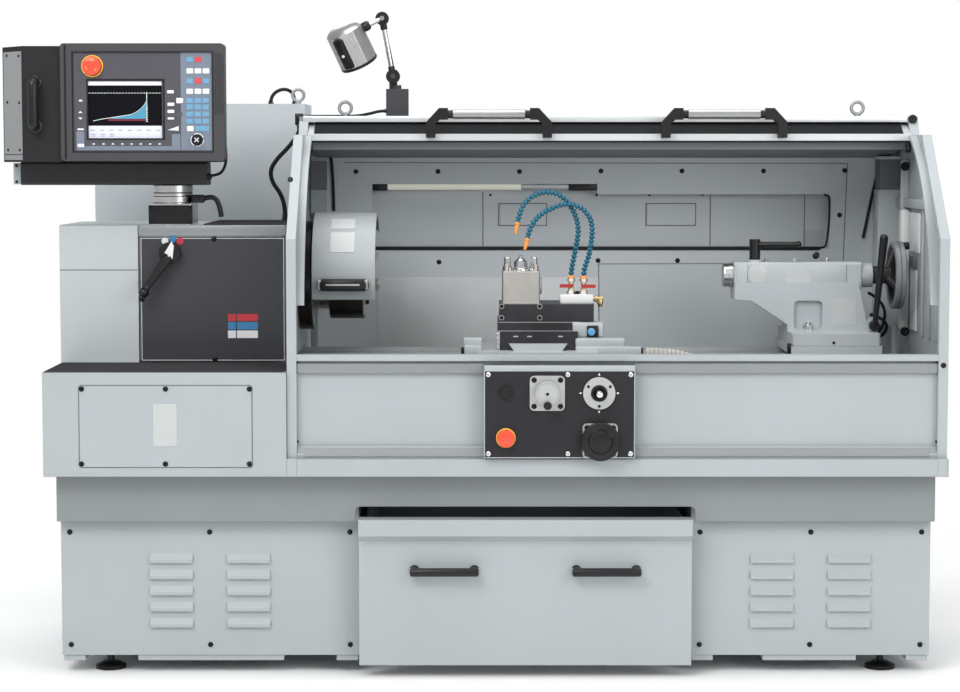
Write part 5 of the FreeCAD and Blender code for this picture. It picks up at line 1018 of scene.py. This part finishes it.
spots = [(x, -563, z) for x in (-483, 1291) for z in (888, 862, 667)]
screws("guardSideScrews", spots, "dot")
print("hood pieces")


# Chuck guard and chuck

guardCentre = (-85, 1106)
addArcPlate(guardCentre, (184.5, 186.4), (49, 64), (-409, -340))
addArcPlate(guardCentre, (184.5, 186.4), (23.5, 44.5), (-409, -340))
piece("guardPlates", "barePlate", "chuck_guard")
handleBox = {"low": (-444, -298.5, 1069), "high": (-297, -262, 1104)}
addBox(handleBox["low"], handleBox["high"], 12)
piece("guardHandle", "blackPlastic", "chuck_guard")
addBox((-420, -299.6, 1085), (-322, -297.8, 1090), 0.8)
piece("guardHandleSlot", "bedIron", "chuck_guard")

addRevolve((-418.5, -85, 1106), (1, 0, 0), [(0, 126), (2, 128.2), (99, 128.2), (99.6, 127.2)], 96, False)
piece("chuckBands", "nose", "spindle_line")
sockets = []
for degrees in (30, 150, 270):
    angle = math.radians(degrees)
    sockets.append((-313.9, -85 - 80 * math.cos(angle), 1106 + 80 * math.sin(angle)))
screws("chuckScrews", sockets, "cap", "spindle_line", axis=(1, 0, 0))
print("chuck pieces")


# Carriage panel

panelFront = -605.0
panel = {"box": (35, 451, 626, 882), "screws": ((488, 567.9, 631.9), (373.8, 454.9)), "flange": -610.0}
x0, x1, z0, z1 = panel["box"]
addBox((x0, panelFront - 1.5, 866), (x1, panelFront + 10, z1 + 0.5), 1.2)
for low, high in ((x0 - 0.6, x0 + 2.6), (x1 - 2.6, x1 + 0.6)):
    addBox((low, panelFront - 1.2, z0), (high, -576, 867), 0.8)
addBox((x0, panelFront - 1.2, z0 - 0.6), (x1, panelFront + 3, z0 + 2.4), 0.8)
piece("panelRim", "paint", "carriage")
spots = onFront([(px, py) for px in panel["screws"][0] for py in panel["screws"][1]], panelFront)
spots = [(min(max(x, 47), 439), y, min(max(z, 638), 857)) for x, y, z in spots]
screws("panelScrews", spots, body="carriage", look="chrome")

crossPlace, jogPlace, wheelPlace = (209, 806), (352, 806), (355, 674)
cyclePlace, stopPlace2 = (95, 808), (95, 682)
for x, z in (crossPlace, wheelPlace):
    addPlate((x - 48.3, x + 48.3, z - 48.3, z + 48.3), (-604.5, -610.8), 12)
piece("wheelFlanges", "plateMetal", "carriage")
spots = [(x + dx, -610.6, z + dz) for x, z in (crossPlace, wheelPlace) for dx in (-36.5, 36.5)
    for dz in (-36, 37)]
screws("wheelFlangeScrews", spots, body="carriage")

crossFace = -636.4
addRevolve((crossPlace[0], crossFace, crossPlace[1]), forward,
    [(-15, 34.4), (-1, 34.8), (0.6, 34), (0.8, 29), (0.1, 28.4), (0.1, 27), (0.9, 26.4), (1.1, 5),
    (0.3, 4.6), (0.3, 0.4)], 60)
piece("crossWheelFace", "plateMetal", "cross_wheel")
for number in range(60):
    angle = number * math.pi / 30
    inner = 30.2 if number % 5 else 29.6
    outer = 33.0
    side = Vector((-math.sin(angle), math.cos(angle))) * 0.25
    out = Vector((math.cos(angle), math.sin(angle)))
    corners = []
    for radius, sign in ((inner, -1), (outer, -1), (outer, 1), (inner, 1)):
        spot = out * radius + side * sign
        corners.append(mesh.verts.new((crossPlace[0] + spot.x, crossFace - 0.95, crossPlace[1] + spot.y)))
    mesh.faces.new(corners)
piece("crossWheelTicks", "keyDark", "cross_wheel", False)
addRevolve((crossPlace[0], crossFace - 0.2, crossPlace[1]), forward,
    [(0, 4.2), (1.4, 4.0), (1.4, 1.8), (0.4, 1.6)], 20)
addRevolve((crossPlace[0], crossFace + 1, crossPlace[1] - 30), forward,
    [(0, 6.8), (4, 9), (9, 10.4), (15, 11.4), (21, 11.6), (23.4, 10.8), (24.2, 8), (24.3, 1)], 28)
piece("crossWheelKnob", "blackPlastic", "cross_wheel")

addRevolve((jogPlace[0], -612.8, jogPlace[1]), forward,
    [(-8, 44.4), (0.2, 44.6), (1.4, 43.6), (1.5, 24), (0.4, 22.6)], 64, False)
piece("jogRing", "plateMetal", "carriage")
spots = [(jogPlace[0] + 35.5 * math.cos(math.radians(a)), -614.2,
    jogPlace[1] + 35.5 * math.sin(math.radians(a))) for a in (32, 148, 270)]
screws("jogRingScrews", spots, "dot", "carriage")
addRevolve((jogPlace[0], -613, jogPlace[1]), forward,
    [(0, 21.5), (3, 21), (3.4, 19.4), (2.4, 18.4), (5.4, 17.6), (5.8, 16), (4.8, 15.2), (8, 14.4)], 40,
    False)
piece("jogBoot", "blackPlastic", "carriage")
addRevolve((jogPlace[0], -613, jogPlace[1]), forward,
    [(0, 12), (4, 12.4), (9, 11), (14, 7.4), (20, 6.4), (22, 8), (23, 9.6), (33, 9.8), (38, 8.4), (41, 5),
    (42, 1)], 36)
piece("jogKnob", "chrome", "jog_stick")
for degrees in (0, 90, 180, 270):
    angle = math.radians(degrees)
    out = Vector((math.cos(angle), math.sin(angle)))
    side = Vector((-out.y, out.x))
    tip = Vector(jogPlace) + out * 56
    foot = Vector(jogPlace) + out * 49
    ring = [tip, foot + side * 3.4, foot - side * 3.4]
    addFace((spot.x, panelFront - 0.8, spot.y) for spot in ring)
piece("jogArrows", "legendWhite", "carriage", False)

wheelFace = -636.4
addTorus((wheelPlace[0], -630, wheelPlace[1]), forward, 47.4, 6.4)
addRevolve((wheelPlace[0], wheelFace, wheelPlace[1]), forward,
    [(0, 47), (0.8, 44), (-0.4, 40), (0.6, 20), (1.2, 12), (1.8, 6), (1.0, 1)], 64)
piece("carriageWheelRim", "blackPlastic", "carriage_wheel")
addTorus((wheelPlace[0], wheelFace - 1, wheelPlace[1]), forward, 41.5, 0.9, 64, 8)
addRevolve((wheelPlace[0], wheelFace - 0.8, wheelPlace[1]), forward, [(0, 3), (1.6, 2.6), (1.8, 1)], 14)
piece("carriageWheelLine", "blackIron", "carriage_wheel")

addTorus((cyclePlace[0], -606.4, cyclePlace[1]), forward, 14.5, 3.2, 48, 12)
piece("cycleCollar", "screwBlack", "carriage")
addRevolve((stopPlace2[0], -605, stopPlace2[1]), forward, [(0, 27), (3.4, 27), (4.4, 26), (4.4, 20)], 48,
    False)
piece("panelStopCollar", "yellow", "carriage")
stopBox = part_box("panel_stop")
stopFront = stopBox[0][1] / mm
addRevolve((stopPlace2[0], stopFront + 12, stopPlace2[1]), forward,
    [(0, 20), (0.6, 24), (6, 24.6), (9.6, 23), (11.6, 19.6), (12.3, 14), (12.4, 2)], 48)
piece("panelStopCap", "red", "panel_stop")
# Painted shade: dark strips for the shadow under the front rail and the shaded lower slope of the guard
# front
panelShadeBands = {"top": (363.6, 373.2), "foot": (447.5, 456.6)}
for x0, x1 in ((-483, 34), (452, 1291)):
    z1, z0 = [onPlane(480, py, -566)[1] for py in panelShadeBands["top"]]
    addPlate((x0, x1, z0, z1), (-564.5, -566.4))
    upper, lower = [onPlane(480, py, y)[1] for py, y in zip(panelShadeBands["foot"], (-566, -574))]
    ring = [(x0, -566.2, upper), (x1, -566.2, upper), (x1, -574.4, lower), (x0, -574.4, lower)]
    addFace(ring)
piece("frontPanelBands", "shadowPaint", "frame")
print("panel pieces")


# Saddle, slides and tool block

addBox((300, -274, 880.5), (456, -236, 908), 3)
addBox((452, -274, 880.5), (490, -265.2, 908), 3)
addBox((300, -268, 906), (443, -230, 931), 4)
addBox((-22, -274, 880.5), (28, -236, 911), 3)
addBox((-24, -262, 909), (30, -228, 932), 4)
piece("saddleWings", "castPaint", "carriage")
for x, back in ((-26, -240), (490, -265.2)):
    addBox((x - 5, -273, 884), (x + 5, back, 904), 2)
piece("saddleWipers", "rubber", "carriage")

addBox((290, -232, 931), (384, -150, 975), 8)
addBox((262, -228, 949), (320, -160, 976), 6)
piece("saddleCasting", "castPaint", "carriage")
plugX, plugZ = onPlane(591.4, 331.8, -236)
addBox((plugX - 13, -237.5, plugZ - 17), (plugX + 21, -226, plugZ + 18), 3)
piece("saddlePlugBlock", "blackPlastic", "carriage")
addRevolve((plugX, -237, plugZ), forward, [(0, 11), (4, 11), (6, 9), (6.6, 4)], 28)
piece("saddlePlug", "blueCap", "carriage")

chain = {"y": (-274, -265.2), "first": 646, "count": 11, "step": 4.3}
for number in range(chain["count"]):
    px = chain["first"] + number * chain["step"]
    x0 = onPlane(px, 350, chain["y"][0])[0]
    top = 905 - number * number * 0.16
    addBox((x0, chain["y"][0], 884), (x0 + 11, chain["y"][1], top), 1.6)
piece("wayCover", "beige", "carriage")
addBox((488, -274, 879.5), (640, -265.2, 885), 1)
piece("wayCoverTray", "castPaint", "carriage")

blockFront = -215.0
rings = onFront([(501.6, 306.4), (539.8, 306.4), (501.6, 317.8), (539.8, 317.8)], blockFront)
for x, y, z in rings:
    addTorus((x, blockFront - 0.2, z), forward, 6.6, 1.1, 24, 8)
piece("blockScrewRings", "bedIron", "cross")
screws("blockScrews", rings, "dot", "cross")
addBox((72, -256.5, 897), (81, -250, 950), 0.8)
for number in range(4):
    addBox((70.6, -257.4, 903 + number * 12), (77, -254, 909 + number * 12), 0.6)
piece("slideScale", "bedIron", "cross")
for x in (120, 160, 250):
    addBox((x, -255.9, 934), (x + 14, -254.4, 938), 0.4)
addBox((77, -235.8, 949.5), (306, -234, 951.5), 0.4)
addBox((77, -235.9, 974.8), (291, -234, 976.6), 0.4)
piece("slideLines", "bedIron", "cross")

postZ = 1123.0
post = {"x": (88, 198), "y": (-215, -105), "studs": ((104, -166), (182, -166))}


def hexNut(base, across, height):
    addRevolve(base, (0, 0, 1), [(0, across * 0.56), (0.8, across * 0.577), (height - 1, across * 0.577),
        (height, across * 0.5)], 6)


for x, y in post["studs"]:
    addRevolve((x, y, postZ - 1), (0, 0, 1), [(0, 15), (3, 15), (4, 13), (8, 11.6), (9, 10), (38, 10),
        (39.4, 9)], 28)
    hexNut((x, y, postZ + 4), 24, 9)
addRevolve((143, -160, postZ - 1), (0, 0, 1), [(0, 24), (6, 23), (8, 20)], 36)
hexNut((143, -160, postZ + 6), 34, 22)
addRevolve((143, -160, postZ + 27), (0, 0, 1), [(0, 15), (5, 13), (9, 8), (10, 6), (16, 6), (17, 4)], 28)
piece("postNuts", "chrome", "cross")
addRevolve((197.4, -160, 1079), (1, 0, 0), [(0, 25), (5, 25), (7, 23), (7.4, 14), (5, 12)], 40)
piece("postDisc", "bedIron", "cross")
addFrame((91, 195, 1030, 1120), (-214.6, -215.7), 3)
piece("postBorder", "groundSteel", "cross")
print("slide pieces")


# Coolant manifold, valves and hoses

addBox((257.5, -186.5, 1027.4), (354.5, -143.5, 1054.2), 3)
piece("manifoldBody", "whiteMetal", "cross")
screws("manifoldScrew", [(309, -165, 1054)], "cap", "cross", axis=(0, 0, 1))
for x, y in ((327, -174), (291, -156)):
    hexNut((x, y, 1053.5), 21, 9)
    addRevolve((x, y, 1061), (0, 0, 1), [(0, 8.4), (2, 9.4), (6, 9.4), (9, 7.6), (30, 7.6), (33, 9.6),
        (36, 9.6)], 24)
    hexNut((x, y, 1091), 20, 8)
    # Flat in front, where the valve's handle turns
    near = [vert for vert in mesh.verts if abs(vert.co.x - x) < 13 and abs(vert.co.y - y) < 13]
    for vert in near:
        vert.co.y = max(vert.co.y, y - 6.2)
addRevolve((353, -166, 1040), (1, 0, 0), [(0, 7), (8, 7), (8, 9.4), (15, 9.4), (16, 7), (24, 7), (25, 9),
    (31, 9)], 20)
addRevolve((376, -166, 1044), (0, 0, -1), [(0, 8), (4, 9), (18, 9), (20, 7), (27, 6)], 20)
piece("manifoldFittings", "brass", "cross")
for x, y in ((291, -156), (327, -174)):
    addRevolve((x, y, 1098), (0, 0, 1), [(0, 8.6), (1, 9.4), (7, 9.4), (10, 8.2)], 24)
piece("manifoldCollars", "orange", "cross")

hoses = {"radius": 7.6, "pitch": 12.0, "hose1": ((291, -156, 1105.2),
    ((0, 0), (0, 20), (13, 80), (22, 132), (15, 173), (-6, 214), (-38, 243), (-79, 249), (-120, 233),
    (-149, 200), (-157, 158))), "hose2": ((327, -174, 1105.2),
    ((0, 0), (0, 20), (15, 60), (23, 106), (25, 147), (17, 176), (-7, 203), (-48, 215), (-89, 203),
    (-130, 180), (-157, 147), (-165, 112))), }


def beadShape():
    addRevolve((0, 0, -7.4), (0, 0, 1), [(0, 3.6), (0.8, 5.6), (3.0, 7.8), (6.0, 8.6), (8.4, 7.6),
        (9.8, 5.0), (11, 4.0), (12.2, 4.6), (13.6, 5.0), (14.8, 4.4)], 20)


beadSource = stored("hoseBeadShape", beadShape)


# Ball-and-socket segments along the hose's NURBS line
def beadedHose(name, foot, route):
    points = [(foot[0] + x, foot[1], foot[2] + z) for x, z in route]
    holder = nurbsLine(name, points, 24)
    tree = placingTree(name, beadSource, "hoseBlue", forward, hoses["pitch"] * mm)
    holder.modifiers.new("beads", "NODES").node_group = tree
    made = settle(name, solved(name, holder), "hoseBlue", "cross")
    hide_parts("coolant_hoses")
    last, before = Vector(points[-1]), Vector(points[-2])
    return last, (last - before).normalized()


for name in ("hose1", "hose2"):
    last, ahead = beadedHose("coolantHose" + name[-1], *hoses[name])
    addRevolve(last - ahead * 2, ahead, [(0, 6), (1, 8.4), (7, 8.4), (9, 7), (12, 6.6), (14, 7), (30, 4.9),
        (35.5, 4.4), (35.5, 2.8), (20, 2.6)], 24)
piece("hoseNozzles", "orange", "cross")
print("coolant pieces")


# Tailstock

addBox((823, -128.5, 1073), (1103, -122, 1139), 2.5)
addBox((777, -127, 1070), (812, -122, 1142), 2.5)
piece("barrelPads", "castPaint", "tailstock")
addRevolve((741, -85, 1106), (1, 0, 0), [(0, 30), (2, 33.6), (4, 34.6), (10, 34.6), (11, 32), (16, 32),
    (17, 36), (28, 36), (29, 34.5)], 56)
piece("quillCollar", "steel", "quill")
plateX, plateZ = onPlane(757.5, 274.4, -128.5)
addRevolve((plateX, -128.2, plateZ), forward, [(0, 29), (0.8, 29), (1.2, 28)], 48)
addPlate(plateAt((786.5, 811, 267.5, 283), -128.5), (-128.2, -129.6), 2)
addPlate(plateAt((832.5, 856, 298.5, 325), -141), (-140.8, -142.2), 2)
piece("tailPlates", "barePlate", "tailstock")
nutX = onPlane(808.4, 326.4, -135)[0]
addRevolve((nutX, -128, 943), (0, 0, 1), [(0, 19), (4, 19), (5, 17)], 32)
hexNut((nutX, -128, 948), 27, 14)
addRevolve((nutX, -128, 961), (0, 0, 1), [(0, 9), (8, 9), (9, 8)], 20)
for px in (766, 827):
    x = onPlane(px, 258, -90)[0]
    addRevolve((x, -88, 1145), (0, 0, 1), [(0, 6.6), (5, 6.6), (6, 5), (10, 5), (12, 3.4)], 16)
piece("tailNuts", "chrome", "tailstock")
addRevolve((1014, -62, 1168), (0.8, 0.1, -0.6), [(0, 2), (1, 7), (4, 10), (9, 11), (14, 10), (17, 7),
    (18, 4)], 24)
addRevolve((1048, -258.6, 918), forward, [(0, 4.4), (1.2, 4), (1.2, 1)], 16)
piece("tailKnob", "blackPlastic", "tailstock")
addRevolve((1027, -60, 1159), (0.8, 0.1, -0.6), [(0, 3.2), (26, 3.2)], 12)
piece("tailKnobStem", "chrome", "tailstock")
addBox((928.5, -258.7, 906.6), (1183.5, -254, 909.4), 0.5)
addBox((914, -262, 884), (926, -240, 916), 2)
piece("tailSeam", "blackPlastic", "tailstock")
for number, loop in enumerate((((1178, -60, 1052), (1215, -50, 1032), (1238, -30, 985), (1222, -10, 930),
        (1196, 0, 900)), ((1190, -20, 985), (1222, -28, 976), (1246, -20, 950), (1230, 0, 915),
        (1200, 10, 902)))):
    sweep("tailCable%d" % (number + 1), loop, 4.5, "rubber", "tailstock")

addTorus((1256, -85, 1106), (1, 0, 0), 88, 12.6, 80, 16)
piece("tailWheelRim", "blackIron", "tailstock_wheel")
addRevolve((1240, -85, 1106), (1, 0, 0), [(0, 88), (0, 96), (3, 100.4), (29, 100.4), (32, 96), (32, 88),
    (16, 86), (0, 88)], 80, False)
piece("tailWheelBand", "dullSteel", "tailstock_wheel")
print("tailstock pieces")


# Lamp

drum = {"centre": Vector((-361, 35, 1785)), "axis": Vector((0.40, 0.30, -0.866)).normalized(),
    "radius": 55.0, "half": 55.0}
axis = drum["axis"]
back = drum["centre"] - axis * drum["half"]
turn = Matrix.Translation(back) @ rotationTo(axis)
profile = [(-13, 6), (-12, 24), (-8, 42), (-2, 51), (3, 55.6), (112, 56.6), (112, 53)]
rings = []
for along, radius in profile:
    ring = []
    for number in range(96):
        angle = 2 * math.pi * number / 96
        flute = 0.9 * abs(math.cos(angle * 8)) if radius > 55 else 0.0
        ring.append(mesh.verts.new(turn @ Vector(((radius + flute) * math.cos(angle),
            (radius + flute) * math.sin(angle), along))))
    rings.append(ring)
joinRings(rings, False)
mesh.faces.new(list(reversed(rings[0])))
piece("lampDrum", "lampSilver", "lamp_head")
addRevolve(back, axis, [(107, 57.8), (113, 58), (116, 56.4), (116, 51), (110, 50)], 72, False)
piece("lampRim", "blackPlastic", "lamp_head")
addRevolve(back, axis, [(105, 50.4), (106.5, 40), (108, 20), (108.6, 2)], 48)
piece("lampGlass", "barePlate", "lamp_head")
outward = Vector((-0.363, -0.815, -0.450))
outward = (outward - axis * outward.dot(axis)).normalized()
side = axis.cross(outward)
lampTurn = Matrix((outward, side, axis)).transposed()
middle = drum["centre"] + outward * 56 + axis * 2
addBox(middle - Vector((8, 17, 48)), middle + Vector((8, 17, 48)), 7, lampTurn)
piece("lampSwitchHousing", "blackPlastic", "lamp_head")
addRevolve(middle + outward * 7.6 + axis * 4, outward, [(0, 5), (2, 4.6), (2.6, 3)], 20)
piece("lampSwitch", "keyWhite", "lamp_head")
low, high = Vector((-237, 55, 1695)), Vector((-269, 55, 1867))
along = (high - low).normalized()
addRevolve(low + along * 26, along, [(0, 6.4), (1, 7.4), ((high - low).length - 54, 7.4),
    ((high - low).length - 53, 6.4)], 24)
piece("lampTubeLower", "silver", "lamp_arm")
addRevolve(low + along * 18, along, [(0, 10), (10, 10), (13, 8.6)], 20)
addRevolve(high - along * 34, along, [(0, 9), (3, 10.4), (16, 10.4)], 20)
piece("lampTubeCups", "blackPlastic", "lamp_arm")
start, knuckle = Vector((-269, 35, 1867)), Vector((-317, 35, 1843))
along = (knuckle - start).normalized()
addRevolve(start + along * 8, along, [(0, 6), (1, 7.2), (32, 7.2), (33, 6)], 24)
piece("lampTubeUpper", "silver", "lamp_head")
addRevolve(knuckle - along * 14, along, [(0, 8), (3, 13), (10, 15), (18, 15), (26, 12), (30, 9)], 24)
toDrum = (drum["centre"] - axis * 28 - knuckle).normalized()
addRevolve(knuckle, toDrum, [(0, 14), (8, 13), (16, 17), (22, 18)], 24)
piece("lampKnuckle", "blackPlastic", "lamp_head")
print("lamp pieces")


# Lines

lines = {"guardHose": (6.5, (-521, 95, 1552), ((0, 0, 0), (0, 0, -22), (-17, 0, -47), (-39, 0, -74),
    (-71, 0, -105), (-91, 0, -140), (-83, 0, -177), (-59, 0, -207), (-45, 0, -251), (-46, 0, -293))),
    "conduit": (5.5, (-637, 435, 1620), ((0, 0, 0), (0, 0, 18), (12, 0, 36), (31, 0, 46), (50, 0, 47),
    (67, 0, 38), (75, 0, 20), (75, 0, 0))), "lampLead": (4.5, (-257, 59, 1592),
    ((0, 0, 0), (-20, 0, 0), (-50, 4, -8), (-88, 16, -15), (-135, 27, -15.3), (-180, 33, -15.3),
    (-214, 36, -15.3), (-241, 36, -15.3))), }
for name, (radius, foot, route) in lines.items():
    points = [(foot[0] + x, foot[1] + y, foot[2] + z) for x, y, z in route]
    made = sweep(name, points, radius, "rubber", "frame")
    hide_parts("service_lines")
for place, axisDown in (((-521, 95, 1556), (0, 0, -1)), ((-567, 95, 1262), (0, 0, 1))):
    addRevolve(place, axisDown, [(0, 10), (8, 10), (9, 8), (22, 7.6), (24, 6.8)], 20)
for place in ((-637, 435, 1619), (-562, 435, 1619)):
    addRevolve(place, (0, 0, 1), [(0, 9), (6, 9), (7, 7), (14, 6.4)], 20)
addRevolve((-256, 59, 1592), (-1, 0, 0), [(0, 6.4), (3, 6.4), (12, 4.4)], 16)
piece("lineGlands", "blackPlastic", "frame")
print("line pieces")


# Drawer

grips = {"x": (-75.5, 376.5), "y": -583, "z": 303, "half": 95, "radius": 11.9, "face": -549}
for x in grips["x"]:
    addRevolve((x - grips["half"] - 1, grips["y"], grips["z"]), (1, 0, 0),
        [(0, 8), (2, 11.2), (6, 12), (95, 12.2), (186, 12), (190, 11.2), (192, 8)], 28)
    for side in (-1, 1):
        foot = x + side * (grips["half"] - 11)
        addRevolve((foot, grips["face"] - 0.4, grips["z"]), forward,
            [(0, 15), (3, 15), (6, 12.2), (34, 12)], 24)
piece("drawerGrips", "blackPlastic", "chip_drawer")
print("drawer pieces")


# Floor, light and camera

stage = {"half": 14.0, "near": 1.25, "far": 3.2}
data = bpy.data.meshes.new("floor")
half = stage["half"]
data.from_pydata([(-half, -half, -0.0008), (half, -half, -0.0008), (half, half, -0.0008),
    (-half, half, -0.0008)], [], [(0, 1, 2, 3)])
floor = bpy.data.objects.new("floor", data)
bpy.context.scene.collection.objects.link(floor)
material, tree, shader, source = nodeMaterial("floorPaint")
fac = noiseNode(tree, source, 0.8)
tree.links.new(rampNode(tree, fac, [0.91] * 3, [0.93] * 3), shader.inputs["Base Color"])
shader.inputs["Roughness"].default_value = 0.7
away = tree.nodes.new("ShaderNodeVectorMath")
away.operation = "LENGTH"
tree.links.new(source, away.inputs[0])
fade = tree.nodes.new("ShaderNodeMapRange")
fade.interpolation_type = "SMOOTHSTEP"
fade.inputs["From Min"].default_value = stage["near"]
fade.inputs["From Max"].default_value = stage["far"]
tree.links.new(away.outputs["Value"], fade.inputs["Value"])
eye = tree.nodes.new("ShaderNodeLightPath")
direct = tree.nodes.new("ShaderNodeMath")
direct.operation = "MULTIPLY"
tree.links.new(fade.outputs["Result"], direct.inputs[0])
tree.links.new(eye.outputs["Is Camera Ray"], direct.inputs[1])
bright = tree.nodes.new("ShaderNodeEmission")
bright.inputs["Color"].default_value = (1, 1, 1, 1)
bright.inputs["Strength"].default_value = 1.0
blend = tree.nodes.new("ShaderNodeMixShader")
surface = next(node for node in tree.nodes if node.type == "OUTPUT_MATERIAL").inputs["Surface"]
tree.links.new(direct.outputs[0], blend.inputs["Fac"])
tree.links.new(shader.outputs[0], blend.inputs[1])
tree.links.new(bright.outputs[0], blend.inputs[2])
tree.links.new(blend.outputs[0], surface)
data.materials.append(material)

world = bpy.data.worlds.new("studio")
bpy.context.scene.world = world
world.use_nodes = True
tree = world.node_tree
tree.nodes.clear()
path = tree.nodes.new("ShaderNodeLightPath")
seen = tree.nodes.new("ShaderNodeMath")
seen.operation = "MAXIMUM"
tree.links.new(path.outputs["Is Camera Ray"], seen.inputs[0])
tree.links.new(path.outputs["Is Transmission Ray"], seen.inputs[1])
white = tree.nodes.new("ShaderNodeBackground")
white.inputs["Color"].default_value = (1, 1, 1, 1)
white.inputs["Strength"].default_value = 1.0
soft = tree.nodes.new("ShaderNodeBackground")
soft.inputs["Color"].default_value = (0.98, 0.99, 1.0, 1)
soft.inputs["Strength"].default_value = 0.62
mix = tree.nodes.new("ShaderNodeMixShader")
output = tree.nodes.new("ShaderNodeOutputWorld")
tree.links.new(seen.outputs[0], mix.inputs["Fac"])
tree.links.new(soft.outputs[0], mix.inputs[1])
tree.links.new(white.outputs[0], mix.inputs[2])
tree.links.new(mix.outputs[0], output.inputs["Surface"])

lamps = {"key": {"place": (-2.2, -4.6, 4.6), "size": (3.4, 2.4), "watts": 190},
    "fill": {"place": (3.4, -4.4, 2.6), "size": (2.6, 2.6), "watts": 90},
    "top": {"place": (0.2, -0.6, 5.0), "size": (4.4, 2.6), "watts": 110},
    "rear": {"place": (0.0, 4.6, 4.2), "size": (4.0, 2.0), "watts": 70}, }
for name, lamp in lamps.items():
    light = bpy.data.lights.new(name, "AREA")
    light.shape = "RECTANGLE"
    light.size, light.size_y = lamp["size"]
    light.energy = lamp["watts"]
    made = bpy.data.objects.new(name, light)
    made.location = lamp["place"]
    aim = Vector((0, 0, 0.9)) - made.location
    made.rotation_euler = aim.to_track_quat("-Z", "Y").to_euler()
    bpy.context.scene.collection.objects.link(made)

camera = bpy.data.cameras.new("camera")
camera.lens = 90
camera.sensor_width = 36
camera.clip_end = 60
shooter = bpy.data.objects.new("camera", camera)
shooter.location = [value * mm for value in view["place"]]
shooter.rotation_euler = (math.radians(90 - view["pitch"]), 0, 0)
bpy.context.scene.collection.objects.link(shooter)
bpy.context.scene.camera = shooter
bpy.context.scene.view_settings.view_transform = "Standard"

print("stage ready")
